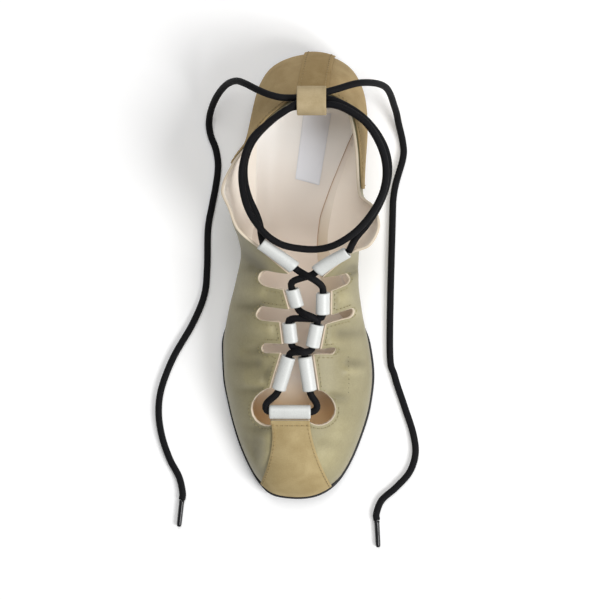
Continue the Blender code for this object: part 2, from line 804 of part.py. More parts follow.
def tunnel(name, axis):
    points, faces = [], []
    sides = TUNNEL_SIDES
    for centre, across, normal in axis:
        for wall in (0.0, TUNNEL_WALL):
            for k in range(sides):
                turn = 2 * math.pi * k / sides
                wide = across * (TUNNEL_HALF_WIDTH - wall) * math.cos(turn)
                high = normal * (TUNNEL_HALF_HEIGHT - wall) * math.sin(turn)
                points.append(centre + wide + high)
    ring = 2 * sides
    for station in range(len(axis) - 1):
        for layer in (0, sides):
            for k in range(sides):
                a = station * ring + layer + k
                b = station * ring + layer + (k + 1) % sides
                faces.append((a, b, b + ring, a + ring))
    for station in (0, len(axis) - 1):
        for k in range(sides):
            a = station * ring + k
            b = station * ring + (k + 1) % sides
            faces.append((a, b, b + sides, a + sides))
    return mesh_object(name, points, faces, "white_leather")


# The lace


def catmull(points, step):
    """A smooth line through the points, read off at about one step apart."""
    given = np.asarray(points, float)
    ends = np.vstack([2 * given[0] - given[1], given, 2 * given[-1] - given[-2]])
    fine = []
    for a, b, c, d in zip(ends, ends[1:], ends[2:], ends[3:]):
        for u in np.linspace(0, 1, CORD_SUBSTEPS, endpoint=False):
            square = (2 * a - 5 * b + 4 * c - d) * u * u
            cube = (3 * b - a - 3 * c + d) * u**3
            fine.append((2 * b + (c - a) * u + square + cube) / 2)
    fine = np.vstack([fine, given[-1]])
    length = np.concatenate([[0], np.cumsum(np.linalg.norm(np.diff(fine, axis=0), axis=1))])
    count = max(2, round(length[-1] / step) + 1)
    wanted = np.linspace(0, length[-1], count)
    return np.stack([np.interp(wanted, length, fine[:, axis]) for axis in range(3)], axis=1)


def cord(name, line, diameter, finish):
    curve = bpy.data.curves.new(name, "CURVE")
    curve.dimensions = "3D"
    curve.bevel_depth = diameter / 2 * MM
    curve.bevel_resolution = CORD_RESOLUTION
    curve.use_fill_caps = True
    spline = curve.splines.new("POLY")
    spline.points.add(len(line) - 1)
    for point, place in zip(spline.points, line):
        point.co = (*(np.asarray(place) * MM), 1.0)
    return add_object(name, curve, finish)


def tunnel_mouth(axis, end, beyond_mouth):
    """A point on a tunnel's centre line beyond its first (0) or last (-1) mouth, and the way out."""
    inner = 1 if end == 0 else -2
    out = axis[end][0] - axis[inner][0]
    out = out / np.linalg.norm(out)
    return axis[end][0] + out * beyond_mouth, out


def lace_stretch(start, start_out, end, end_out, reaches, lift):
    """A short stretch of lace from one tunnel's mouth to another's, arched by lift at its middle."""
    control = (start, start + start_out * reaches[0], end + end_out * reaches[1], end)
    line = bezier(control, np.linspace(0, 1, CROSS_POINTS))
    line[:, 2] += lift * np.sin(np.linspace(0, math.pi, CROSS_POINTS)) ** 2
    return line


def toe_turn(row, start, start_out, end, end_out):
    """The lace from the toe tunnel's mouth round to a tab's tunnel: a quarter turn, then a run."""
    across = (end - start) - start_out * np.dot(end - start, start_out)
    across /= np.linalg.norm(across)
    middle = start + start_out * row.out + across * row.round
    quarter = (start, start + start_out * row.out * ARC_REACH, middle - across * row.round * ARC_REACH, middle)
    run = (middle, middle + across * TURN_REACHES[0], end + end_out * TURN_REACHES[1], end)
    share = np.linspace(0, 1, TURN_POINTS)
    return np.concatenate([bezier(quarter, share), bezier(run, share)[1:]])


def joined(name, first, second):
    """One solid from two lace stretches that cross."""
    graph = bpy.context.evaluated_depsgraph_get()
    for part in (first, second):
        mesh = bpy.data.meshes.new_from_object(part.evaluated_get(graph))
        work = bmesh.new()
        work.from_mesh(mesh)
        bmesh.ops.remove_doubles(work, verts=work.verts, dist=1e-6)
        bmesh.ops.recalc_face_normals(work, faces=work.faces)
        work.to_mesh(mesh)
        work.free()
        solid = add_object(part.name + "_solid", mesh, "black_cord")
        if part is first:
            base = solid
        else:
            tool = solid
        bpy.data.objects.remove(part)
    tool.hide_render = True
    tool.display_type = "WIRE"
    union = base.modifiers.new("join", "BOOLEAN")
    union.operation = "UNION"
    union.object = tool
    base.name = name
    return base


def crossing(row, low_axes, high_axes):
    """The lace's cross from two tunnels' upper mouths to the opposite tunnels' lower mouths."""
    strands = []
    name = f"lace_crossing_{row.number}"
    reaches = (row.reach, row.reach)
    for side, other, lift in (
        ("lateral", "medial", row.lateral_lift),
        ("medial", "lateral", row.medial_lift),
    ):
        start, start_out = tunnel_mouth(low_axes[side], -1, row.mouth_gap)
        end, end_out = tunnel_mouth(high_axes[other], 0, row.mouth_gap)
        line = lace_stretch(start, start_out, end, end_out, reaches, lift)
        strands.append(cord(f"{name}_{side}", line, LACE_DIAMETER, "black_cord"))
    return joined(name, *strands)


def free_half(name, start, route, tip):
    """One half of the lace from its top tunnel to the aglet, which it meets squarely."""
    end, tip = np.asarray(route[-1]), np.asarray(tip)
    way = (tip - end) / np.linalg.norm(tip - end)
    line = catmull([start] + route, LACE_STEP)
    line = list(line) + [end + way * LACE_DIAMETER]
    cord(name, line, LACE_DIAMETER, "black_cord")
    first = line[-1] + way * GAP
    aglet = [first, first + way * AGLET_LENGTH / 2, first + way * AGLET_LENGTH]
    cord(name + "_aglet", aglet, AGLET_DIAMETER, "black_plastic")


def build():
    for old in list(bpy.data.objects):
        bpy.data.objects.remove(old)

    plate("outsole", [sole_row(row) for row in SOLE_EDGE], "rubber")
    plate("insole", [insole_underside, insole_side, insole_face], "nude_leather")
    upper()
    overlay("toe_patch", post_at("medial", "toe_corner"), post_at("lateral", "toe_corner"),
            OVERLAY_THICK, GAP, "tan_suede")
    overlay("heel_counter", post_at("lateral", "wing_back"), post_at("medial", "collar_dip"),
            OVERLAY_THICK, GAP, "tan_suede")
    heel_strip()

    toe_axis = tunnel_axis(post_at("medial", "toe_corner") - RING_SIZE, post_at("lateral", "toe_corner"))
    tunnel("lace_tunnel_toe", toe_axis)
    axes = {}
    for number in (1, 2, 3, 4):
        axes[number] = {}
        for side in ("lateral", "medial"):
            low = post_at(side, f"tab_{number}_low")
            high = post_at(side, f"tab_{number}_high")
            axes[number][side] = tunnel_axis(low, high)
            tunnel(f"lace_tunnel_{side}_{number}", axes[number][side])
    for row in CROSSES:
        crossing(row, axes[row.number], axes[row.number + 1])
    for side, end in (("lateral", -1), ("medial", 0)):
        start, start_out = tunnel_mouth(toe_axis, end, MOUTH_GAP)
        finish, finish_out = tunnel_mouth(axes[1][side], 0, MOUTH_GAP)
        line = toe_turn(TURNS[side], start, start_out, finish, finish_out)
        cord(f"lace_turn_{side}", line, LACE_DIAMETER, "black_cord")

    for side, name, route, tip in (
        ("lateral", "lace_wrap", WRAP_ROUTE, WRAP_TIP),
        ("medial", "lace_side", SIDE_ROUTE, SIDE_TIP),
    ):
        start, _ = tunnel_mouth(axes[4][side], -1, MOUTH_GAP)
        free_half(name, start, route, tip)


build()
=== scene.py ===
import math
from collections import namedtuple

import bpy
import numpy as np
from mathutils import Matrix, Vector


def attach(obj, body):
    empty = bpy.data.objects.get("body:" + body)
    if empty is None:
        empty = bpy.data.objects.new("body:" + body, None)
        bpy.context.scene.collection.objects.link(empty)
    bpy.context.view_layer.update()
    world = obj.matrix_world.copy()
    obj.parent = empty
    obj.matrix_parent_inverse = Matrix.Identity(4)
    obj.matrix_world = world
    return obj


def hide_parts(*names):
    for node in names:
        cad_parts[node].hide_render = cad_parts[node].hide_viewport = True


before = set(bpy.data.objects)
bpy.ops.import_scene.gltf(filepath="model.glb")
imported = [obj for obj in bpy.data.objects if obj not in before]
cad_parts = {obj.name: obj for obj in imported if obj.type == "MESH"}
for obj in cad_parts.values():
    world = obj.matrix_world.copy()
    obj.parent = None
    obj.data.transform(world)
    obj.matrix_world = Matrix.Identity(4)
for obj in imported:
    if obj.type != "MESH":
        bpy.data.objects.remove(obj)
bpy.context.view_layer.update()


# Outsole
# One black rubber unit moulded to the last's outline: a low heel block, a raised waist, a flat
# tread under the ball and a little toe spring. The upper is lasted and glued onto its top face,
# and from above only its edge shows, as a thin dark line round the forefoot and the toe.

MM = 0.001
GAP = 0.3
HEEL_END_Y = 122.8
TOE_END_Y = -124.0
HEEL_END_X = 7.0
TOE_END_X = -1.5
SOLE_THICK = 4.6
HEEL_LIFT = 5.0
HEEL_BREAST_Y = 62.0
BREAST_SLOPE = 1.5
WAIST_RISE = 4.4
WAIST_START = 20.0
HEEL_SEAT = 40.0
TREAD_START_Y = 4.0
TREAD_END_Y = -88.0
TOE_SPRING = 6.0
SPRING_POWER = 1.6
SOLE_STATIONS = 200
# Drawn coarser than a real mould's grit, so that it shows
RUBBER_GRAIN = 0.5

# The sole's outline, one row for each section from heel to toe
Section = namedtuple("Section", "y lateral_x medial_x")
OUTLINE = [
    Section(112.0, -18.6, 29.2),
    Section(98.0, -22.6, 33.6),
    Section(82.0, -22.4, 32.6),
    Section(62.0, -20.0, 26.6),
    Section(42.0, -18.6, 19.8),
    Section(20.0, -21.5, 16.0),
    Section(0.0, -29.0, 21.6),
    Section(-20.0, -39.6, 31.8),
    Section(-38.0, -45.0, 38.8),
    Section(-55.0, -44.4, 40.8),
    Section(-72.0, -41.4, 38.9),
    Section(-90.0, -36.6, 33.6),
    Section(-106.0, -29.8, 26.6),
    Section(-116.0, -23.4, 19.4),
    Section(-122.2, -15.6, 9.6),
]

# The sole's edge from the tread to the feather, as an inset and a share of the thickness
EdgeRow = namedtuple("EdgeRow", "inset height")
SOLE_EDGE = [
    EdgeRow(1.9, 0.0),
    EdgeRow(1.15, 0.04),
    EdgeRow(0.6, 0.18),
    EdgeRow(0.35, 0.4),
    EdgeRow(0.37, 0.62),
    EdgeRow(0.55, 0.84),
    EdgeRow(0.85, 0.96),
    EdgeRow(1.3, 1.0),
]


def pchip(knots, values, at, period=None):
    """Cubic interpolation that never overshoots its rows. With a period the rows close a ring."""
    x = np.asarray(knots, float)
    y = np.asarray(values, float)
    if period:
        x = np.concatenate([[x[-1] - period], x, [x[0] + period, x[1] + period]])
        y = np.concatenate([[y[-1]], y, [y[0], y[1]]])
    step = np.diff(x)
    rate = np.diff(y) / step
    slope = np.zeros_like(y)
    slope[0] = rate[0]
    slope[-1] = rate[-1]
    for k in range(1, len(y) - 1):
        if rate[k - 1] * rate[k] > 0:
            before = 2 * step[k] + step[k - 1]
            behind = step[k] + 2 * step[k - 1]
            slope[k] = (before + behind) / (before / rate[k - 1] + behind / rate[k])
    at = np.asarray(at, float)
    i = np.clip(np.searchsorted(x, at, side="right") - 1, 0, len(step) - 1)
    u = (at - x[i]) / step[i]
    start = y[i] * (1 + 2 * u) + slope[i] * step[i] * u
    end = y[i + 1] * (3 - 2 * u) + slope[i + 1] * step[i] * (u - 1)
    return start * (1 - u) ** 2 + end * u**2


HALF_LENGTH = (HEEL_END_Y - TOE_END_Y) / 2
MIDDLE_Y = (HEEL_END_Y + TOE_END_Y) / 2


def turn_of(y):
    """The angle along the outline's half, from 0 at the heel's end to pi at the toe's."""
    return np.arccos(np.clip((np.asarray(y, float) - MIDDLE_Y) / HALF_LENGTH, -1.0, 1.0))


OUTLINE_TURNS = [0.0] + [float(turn_of(row.y)) for row in OUTLINE] + [math.pi]
LATERAL_X = [HEEL_END_X] + [row.lateral_x for row in OUTLINE] + [TOE_END_X]
MEDIAL_X = [HEEL_END_X] + [row.medial_x for row in OUTLINE] + [TOE_END_X]


def outline(way):
    """Plan points at way: 0 at the toe, pi at the heel by the outer side, 2 pi at the toe again."""
    way = np.mod(way, 2 * math.pi)
    turn = np.abs(math.pi - way)
    lateral = pchip(OUTLINE_TURNS, LATERAL_X, turn)
    medial = pchip(OUTLINE_TURNS, MEDIAL_X, turn)
    x = np.where(way < math.pi, lateral, medial)
    return np.stack([x, MIDDLE_Y + HALF_LENGTH * np.cos(turn)], axis=-1)


def unit(vectors):
    return vectors / np.linalg.norm(vectors, axis=-1, keepdims=True)


def outward(way):
    """Unit plan vectors that point out of the sole at way."""
    step = 0.02
    along = outline(way + step) - outline(way - step)
    return unit(np.stack([-along[..., 1], along[..., 0]], axis=-1))


def ease(value, start, end):
    share = np.clip((value - start) / (end - start), 0.0, 1.0)
    return share * share * (3 - 2 * share)


def spring(y):
    rise = np.maximum(0.0, (TREAD_END_Y - y) / (TREAD_END_Y - TOE_END_Y))
    return TOE_SPRING * rise**SPRING_POWER


def sole_bottom(y):
    """Height of the underside: a heel block, a raised waist, a flat tread, a toe spring."""
    breast = np.clip((HEEL_BREAST_Y - y) / BREAST_SLOPE, 0.0, 1.0)
    waist = WAIST_RISE * (1 - ease(HEEL_BREAST_Y - y, WAIST_START, HEEL_BREAST_Y - TREAD_START_Y))
    return breast * waist + spring(y)


def sole_top(y):
    """Height of the face that the upper and the insole are fixed to."""
    slope_end = HEEL_END_Y - TREAD_START_Y + WAIST_START
    return SOLE_THICK + HEEL_LIFT * (1 - ease(HEEL_END_Y - y, HEEL_SEAT, slope_end)) + spring(y)


def feed(node, inputs):
    """The node, with each of these inputs set to a value or linked from a socket."""
    for name, value in inputs.items():
        if isinstance(value, bpy.types.NodeSocket):
            node.id_data.links.new(value, node.inputs[name])
        else:
            node.inputs[name].default_value = value
    return node


def add_node(tree, kind, inputs=None, **settings):
    """A node with its settings and its inputs."""
    made = tree.nodes.new(kind)
    for name, value in settings.items():
        setattr(made, name, value)
    return feed(made, inputs or {})


def linear(colour):
    """An sRGB hex colour as linear red, green, blue and alpha."""
    parts = [int(colour[k : k + 2], 16) / 255 for k in (1, 3, 5)]
    curve = [c / 12.92 if c <= 0.04045 else ((c + 0.055) / 1.055) ** 2.4 for c in parts]
    return (*curve, 1.0)


def new_finish(name, roughness, specular):
    """A material with its tree and Principled shader."""
    made = bpy.data.materials.new(name)
    made.use_nodes = True
    shader = made.node_tree.nodes["Principled BSDF"]
    feed(shader, {"Roughness": roughness, "Specular IOR Level": specular})
    return made, made.node_tree, shader


def tint_and_raise(shader, pattern, dark, light, strength=0.0, depth=0.0, relief=None):
    """Two tints mixed by a pattern, and the pattern or another one raised by depth in mm."""
    tree = shader.id_data
    tints = {"Factor": pattern, "A": linear(dark), "B": linear(light)}
    tint = add_node(tree, "ShaderNodeMix", tints, data_type="RGBA")
    feed(shader, {"Base Color": tint.outputs["Result"]})
    if strength:
        raised = {"Height": relief or pattern, "Strength": strength, "Distance": depth * MM}
        feed(shader, {"Normal": add_node(tree, "ShaderNodeBump", raised).outputs["Normal"]})


def moulded_rubber():
    """Black sole rubber from a matt mould: a fine sandy grain and a dull, broad highlight."""
    made, tree, shader = new_finish("moulded_rubber", 0.62, 0.4)
    place = add_node(tree, "ShaderNodeTexCoord").outputs["Object"]
    sand = add_node(tree, "ShaderNodeTexNoise", {"Vector": place, "Scale": 1 / (RUBBER_GRAIN * MM)})
    tint_and_raise(shader, sand.outputs["Fac"], "#141416", "#232326", 0.35, 0.1)
    return made


def mesh_piece(
    name, points, faces, finishes, nodes=(), face_finish=None, uv=None, floats=None
):
    """A smooth piece from millimetre points, riding on the one body in place of its nodes."""
    mesh = bpy.data.meshes.new(name)
    mesh.from_pydata((np.asarray(points) * MM).tolist(), [], [tuple(map(int, f)) for f in faces])
    for finish in finishes:
        mesh.materials.append(finish)
    if face_finish is not None:
        mesh.polygons.foreach_set("material_index", np.asarray(face_finish, np.int32))
    corners = np.zeros(len(mesh.loops), np.int32)
    mesh.loops.foreach_get("vertex_index", corners)
    if uv is not None:
        layer = mesh.uv_layers.new(name="UVMap")
        layer.data.foreach_set("uv", np.asarray(uv, np.float32)[corners].ravel())
    for label, values in (floats or {}).items():
        mesh.attributes.new(label, "FLOAT", "POINT").data.foreach_set("value", np.float32(values))
    mesh.shade_smooth()
    mesh.update()
    piece = bpy.data.objects.new(name, mesh)
    bpy.context.scene.collection.objects.link(piece)
    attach(piece, "root")
    if nodes:
        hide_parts(*nodes)
    return piece


def outsole_mesh():
    """Rings of the edge's rows, closed below and above by strips from side to side."""
    turns = np.linspace(0.0, math.pi, SOLE_STATIONS + 1)
    breast = turn_of([HEEL_BREAST_Y, HEEL_BREAST_Y - BREAST_SLOPE])
    turns = np.sort(np.concatenate([turns, breast]))
    ways = np.concatenate([math.pi - turns, math.pi + turns[-2:0:-1]])
    count = len(ways)
    edge, out = outline(ways), outward(ways)
    low, high = sole_bottom(edge[:, 1]), sole_top(edge[:, 1])
    points, faces = [], []
    for row in SOLE_EDGE:
        plan = edge - out * row.inset
        points.append(np.column_stack([plan, low + row.height * (high - low)]))
    for row in range(len(SOLE_EDGE) - 1):
        for k in range(count):
            a, b = row * count + k, row * count + (k + 1) % count
            faces.append((b, a, a + count, b + count))
    last = (len(SOLE_EDGE) - 1) * count
    for k in range(len(turns) - 1):
        one, two = k, k + 1
        across_one, across_two = (-one) % count, (-two) % count
        tread = [across_one, one, two, across_two]
        feather = [one + last, across_one + last, across_two + last, two + last]
        faces += [tuple(dict.fromkeys(tread)), tuple(dict.fromkeys(feather))]
    return np.concatenate(points), faces


sole_points, sole_faces = outsole_mesh()
mesh_piece("outsole_unit", sole_points, sole_faces, [moulded_rubber()], ["outsole"])


# Upper
# One body of soft olive nappa with a nude leather lining, closed over the last and slit into four
# tabs on each side of the open throat. Its edges are cut raw, so the pale core shows round every
# slit, keyhole and wing. The lace draws the tabs in, and gathers run out from the slits.

FEATHER_INSET = 1.5
TOE_TUCK = 1.0
TOE_TUCK_REACH = (112.0, 119.0)
WALL = 1.6
RIM_BULGE = 0.3
RIM_STEPS = 3
EDGE_BAND = 12.0
COLUMN_STEP = 1.1
NOTCH_COLUMNS = 18
LOWER_ROWS = 44
BAND_ROWS = 12
RING_SAMPLES = 4096
FOOT_SOFTNESS = 2.0
WALL_SOFTNESS = 5.0
TOP_SOFTNESS = 0.6
BARE_EDGE = 0.4
DYE_BLUR = 0.25
SNAP = 1e-9

# Both leathers' grains are drawn coarser than real ones, so that they show
NAPPA_GRAIN = 0.9
NAPPA_MOTTLE = 9.0
LINING_GRAIN = 0.7
LINING_CLOUD = 14.0

# Where the folds set in: mm below the tunnels, mm above the sole, and how far the wall faces up,
# first for their height and then for their painted shade. The last row maps a fold's mm to its
# painted light: troughs painted darker, ridges painted paler.
FOLD_FREE = (1.0, 6.0)
FOLD_FADE = (9.0, 18.0)
FOLD_STEEP = (0.08, 0.4)
SHADING_STEEP = (-0.25, 0.1)
FOLD_SHADING = {"From Min": -2.2, "From Max": 2.2, "To Min": 0.6, "To Max": 1.14}

# The posts: each runs from the sole's edge at foot_y up to its point on the top edge. swell and
# rise set how the wall leaves the sole, the shoulder columns how it arrives at the edge, and after
# names what lies between a post and the next one to the heel.
Post = namedtuple(
    "Post",
    "name foot_y top_x top_y top_z swell rise shoulder_x shoulder_y shoulder_z after",
)
TOE_POST = Post("toe", TOE_END_Y, -5.0, -78.0, 40.0, -0.6, 13.0, 0.6, -20.0, -4.0, "toe")
BACK_POST = Post("back", HEEL_END_Y, 7.5, 100.2, 55.0, 4.6, 14.0, 0.0, 12.0, -16.0, "edge")
LATERAL_POSTS = [
    Post("toe_corner", -116.0, -15.6, -78.0, 39.5, 0.3, 13.0, 4.5, -16.0, -4.0, "notch"),
    Post("tab_1_low", -70.0, -15.8, -60.3, 41.5, 0.6, 18.0, -15.0, -0.5, -2.5, "tab"),
    Post("tab_1_high", -46.0, -9.8, -41.1, 45.5, 0.6, 20.0, -18.0, 1.5, -2.5, "notch"),
    Post("tab_2_low", -36.0, -8.7, -36.0, 47.0, 1.4, 20.0, -18.0, -0.5, -2.5, "tab"),
    Post("tab_2_high", -24.0, -10.0, -24.2, 49.5, 7.0, 20.0, -17.0, 3.2, -2.5, "notch"),
    Post("tab_3_low", -15.0, -5.0, -17.0, 51.0, 12.5, 18.0, -19.0, 0.6, -2.5, "tab"),
    Post("tab_3_high", -3.0, -8.0, -6.4, 53.5, 18.5, 16.0, -18.0, 2.5, -3.0, "notch"),
    Post("tab_4_low", 7.0, -4.8, 2.3, 55.5, 22.0, 14.0, -19.0, 1.0, -4.0, "tab"),
    Post("tab_4_high", 21.0, -20.6, 15.4, 58.0, 22.5, 12.0, -14.0, 2.0, -9.0, "edge"),
    Post("wing_front", 33.0, -33.5, 27.0, 60.0, 18.0, 11.0, -5.0, 0.6, -16.0, "edge"),
    Post("wing_edge", 41.0, -37.9, 37.9, 59.0, 18.0, 10.5, 0.0, 0.4, -18.0, "edge"),
    Post("wing_tip", 49.0, -41.7, 47.0, 57.0, 17.0, 10.0, 4.0, 0.3, -20.0, "edge"),
    Post("wing_back", 63.0, -36.2, 62.0, 50.0, 13.0, 11.0, 2.0, 0.2, -17.0, "edge"),
    Post("collar_dip", 77.0, -25.4, 75.2, 46.5, 10.0, 12.0, -4.4, 0.5, -14.0, "edge"),
    Post("heel_side", 95.0, -14.6, 87.4, 49.0, 8.0, 13.0, -9.6, 2.1, -14.0, "edge"),
    Post("heel_quarter", 113.0, -4.2, 94.6, 53.0, 5.6, 13.0, -9.6, 9.4, -15.0, "edge"),
]
MEDIAL_POSTS = [
    Post("toe_corner", -117.5, 5.6, -78.0, 39.5, 0.3, 13.0, 0.5, -16.0, -4.0, "notch"),
    Post("tab_1_low", -69.0, 10.6, -61.4, 41.5, 0.6, 18.0, 13.0, -1.0, -2.5, "tab"),
    Post("tab_1_high", -45.5, 7.8, -41.7, 45.5, 0.8, 20.0, 15.8, 2.0, -2.5, "notch"),
    Post("tab_2_low", -38.0, 11.9, -38.9, 47.0, 2.4, 20.0, 12.7, 1.0, -2.5, "tab"),
    Post("tab_2_high", -23.0, 14.7, -25.4, 49.5, 9.0, 20.0, 11.5, 6.0, -3.0, "notch"),
    Post("tab_3_low", -17.0, 17.8, -20.0, 51.0, 12.0, 18.0, 11.5, 1.0, -3.0, "tab"),
    Post("tab_3_high", -3.0, 18.0, -7.2, 53.5, 20.5, 16.0, 13.0, 6.5, -4.0, "notch"),
    Post("tab_4_low", 2.5, 13.0, 0.4, 55.5, 24.0, 14.0, 18.0, 0.0, -4.0, "tab"),
    Post("tab_4_high", 16.0, 28.8, 13.2, 58.0, 24.0, 11.0, 5.0, 0.6, -12.0, "edge"),
    Post("wing_front", 24.0, 38.6, 16.9, 59.0, 21.0, 11.0, -4.0, 0.0, -18.0, "edge"),
    Post("wing_tip", 33.0, 44.4, 28.6, 57.0, 18.0, 11.0, -4.0, 0.5, -20.0, "edge"),
    Post("wing_back", 42.0, 40.8, 39.2, 52.0, 16.0, 11.0, -2.0, 0.3, -17.0, "edge"),
    Post("collar_dip", 50.0, 33.8, 45.4, 45.5, 14.0, 12.0, 2.4, -0.6, -14.0, "edge"),
    Post("collar", 74.0, 31.8, 71.0, 45.5, 9.0, 13.0, 4.8, -1.5, -14.0, "edge"),
    Post("heel_side", 95.0, 27.9, 89.4, 50.0, 6.5, 13.0, 7.3, 0.4, -14.0, "edge"),
    Post("heel_quarter", 113.0, 19.6, 97.0, 53.5, 5.2, 13.0, 7.7, 7.4, -15.0, "edge"),
]

# Slits between the tabs: how deep their two sides are from the top edge, the low one nearer the
# toe, and how much deeper the end sweeps. A slit has no lean: its end is round. The keyholes beside
# the toe tunnel lean their deepest place away from the toe.
Notch = namedtuple("Notch", "low_depth high_depth sweep lean")
LATERAL_NOTCHES = {
    "toe_corner": Notch(1.6, 1.6, 13.8, 1.8),
    "tab_1_high": Notch(8.2, 9.3, 3.5, None),
    "tab_2_high": Notch(10.3, 14.9, 5.0, None),
    "tab_3_high": Notch(10.4, 13.0, 6.8, None),
}
MEDIAL_NOTCHES = {
    "toe_corner": Notch(1.5, 1.5, 11.7, 1.75),
    "tab_1_high": Notch(10.2, 6.9, 2.7, None),
    "tab_2_high": Notch(16.6, 15.0, 4.8, None),
    "tab_3_high": Notch(11.0, 15.0, 3.6, None),
}

# Folds that the drawn lace leaves, placed in plan, each from its deepest or highest point
# to where it dies away. A negative height is a trough.
Fold = namedtuple("Fold", "x y to_x to_y height width")
FOLDS = [
    Fold(-24.0, 8.0, -35.0, 16.5, -2.2, 3.4),
    Fold(-21.0, 4.3, -35.0, 4.6, -2.4, 3.2),
    Fold(-21.5, -8.2, -36.0, -8.4, 1.9, 3.6),
    Fold(-22.0, -16.4, -38.0, -16.8, -2.6, 3.0),
    Fold(-17.0, -28.4, -31.0, -27.0, 1.9, 3.6),
    Fold(-20.0, -39.6, -33.0, -41.0, -2.4, 2.6),
    Fold(-24.0, -46.8, -41.0, -48.4, -2.0, 3.0),
    Fold(-15.0, -52.5, -30.0, -54.0, -2.1, 4.6),
    Fold(-22.0, -57.4, -36.0, -57.0, 1.4, 3.0),
    Fold(-21.5, -62.0, -37.0, -62.6, -2.1, 2.6),
    Fold(-20.0, -83.5, -32.5, -84.0, -1.9, 2.6),
    Fold(-23.0, -90.2, -34.0, -91.0, -1.4, 2.4),
    Fold(-18.6, -85.7, -18.2, -97.0, 1.6, 2.6),
    Fold(-18.6, -97.0, -22.6, -107.0, 1.6, 2.6),
    Fold(-24.6, -96.0, -27.0, -106.0, -1.8, 3.4),
    Fold(29.0, 4.2, 18.0, 0.6, -2.0, 2.8),
    Fold(29.0, 4.2, 37.0, 6.6, -2.0, 2.8),
    Fold(23.0, -11.8, 31.0, -11.0, 1.9, 4.2),
    Fold(29.0, -19.2, 38.0, -20.4, 1.8, 2.6),
    Fold(23.0, -30.6, 40.0, -31.0, -2.2, 3.0),
    Fold(12.5, -34.9, 26.0, -36.0, 1.4, 3.0),
    Fold(27.0, -46.6, 39.0, -48.2, -2.1, 2.4),
    Fold(27.0, -51.4, 37.0, -52.6, 1.6, 2.6),
    Fold(19.0, -65.8, 28.5, -67.0, -2.1, 2.6),
    Fold(14.0, -92.0, 25.0, -95.0, -1.1, 3.0),
]

# Painted highlights at the toe: flat places painted as pale as a fold ridge of this height
TOE_HIGHLIGHTS = [
    Fold(13.0, -100.0, 22.0, -90.0, 2.6, 8.0),
    Fold(21.0, -86.0, 24.0, -74.0, 1.6, 6.5),
    Fold(-18.8, -90.0, -22.0, -106.0, 1.5, 2.8),
]

RING = [TOE_POST] + LATERAL_POSTS + [BACK_POST] + MEDIAL_POSTS[::-1]
BACK_AT = 1 + len(LATERAL_POSTS)
RING_SIZE = len(RING)
RING_SIDES = np.where(np.arange(RING_SIZE) <= BACK_AT, -1.0, 1.0)
RING_WAYS = math.pi + RING_SIDES * turn_of([post.foot_y for post in RING])
RING_TOPS = np.array([(post.top_x, post.top_y, post.top_z) for post in RING])


def to_next(points):
    """Distance from each point of a ring to the next."""
    return np.linalg.norm(points - np.roll(points, -1, axis=0), axis=1)


SPACING = (to_next(outline(RING_WAYS)) + to_next(RING_TOPS)) / 2
KNOTS = np.concatenate([[0.0], np.cumsum(SPACING)[:-1]])
RING_LENGTH = float(SPACING.sum())


def knot(at):
    """Distance round the ring at position at: whole numbers are posts."""
    whole = np.floor(at)
    index = whole.astype(int) % RING_SIZE
    return KNOTS[index] + (at - whole) * SPACING[index]


def kind_of(index):
    return RING[index].after if index < BACK_AT else RING[(index + 1) % RING_SIZE].after


def soften(values, width):
    """Values along the closed ring, evened out over this many millimetres."""
    rate = np.fft.rfftfreq(RING_SAMPLES, RING_LENGTH / RING_SAMPLES)
    keep = np.exp(-2 * (math.pi * width * rate) ** 2)
    return np.fft.irfft(np.fft.rfft(values, axis=0) * keep[:, None], RING_SAMPLES, axis=0)


def profile_controls():
    """The wall's four control points at even steps round the ring, and the foot's way there."""
    along = np.arange(RING_SAMPLES) * RING_LENGTH / RING_SAMPLES
    knots = np.concatenate([[KNOTS[-1] - RING_LENGTH], KNOTS, RING_LENGTH + KNOTS[:2]])
    ways = np.concatenate([[RING_WAYS[-1] - 2 * math.pi], RING_WAYS, 2 * math.pi + RING_WAYS[:2]])
    way = pchip(knots, ways, along)

    def rows(*names):
        column = [[getattr(post, name) for post in RING] for name in names]
        return np.stack([pchip(KNOTS, values, along, RING_LENGTH) for values in column], axis=-1)

    edge, out = outline(way), outward(way)
    level = sole_top(edge[:, 1]) + GAP
    inset = FEATHER_INSET + TOE_TUCK * ease(-edge[:, 1], *TOE_TUCK_REACH)
    foot = np.column_stack([edge - out * inset[:, None], level])
    swell = rows("swell", "rise")
    lower = foot + np.column_stack([out * swell[:, :1], swell[:, 1]])
    top = rows("top_x", "top_y", "top_z")
    index = np.searchsorted(KNOTS, along, side="right") - 1
    part = ((along - KNOTS[index]) / SPACING[index])[:, None]
    straight = RING_TOPS[index] * (1 - part) + RING_TOPS[(index + 1) % RING_SIZE] * part
    on_tab = np.array([kind_of(k) in ("tab", "toe") for k in index])
    top[on_tab] = straight[on_tab]
    shoulder = top + rows("shoulder_x", "shoulder_y", "shoulder_z")
    return way, [
        soften(foot, FOOT_SOFTNESS),
        soften(lower, WALL_SOFTNESS),
        soften(shoulder, WALL_SOFTNESS),
        soften(top, TOP_SOFTNESS),
    ]


FOOT_WAYS, CONTROLS = profile_controls()
CURVE_STEPS = np.linspace(0.0, 1.0, 41)


def controls(at):
    """The control points at ring positions at."""
    place = np.mod(knot(at) / RING_LENGTH, 1.0) * RING_SAMPLES
    first = np.floor(place).astype(int)
    part = (place - first)[:, None]
    here, there = first % RING_SAMPLES, (first + 1) % RING_SAMPLES
    return [table[here] * (1 - part) + table[there] * part for table in CONTROLS]


def bezier(points, u):
    a, b, c, d = points
    v = 1 - u
    return a * v**3 + 3 * b * v * v * u + 3 * c * v * u * u + d * u**3


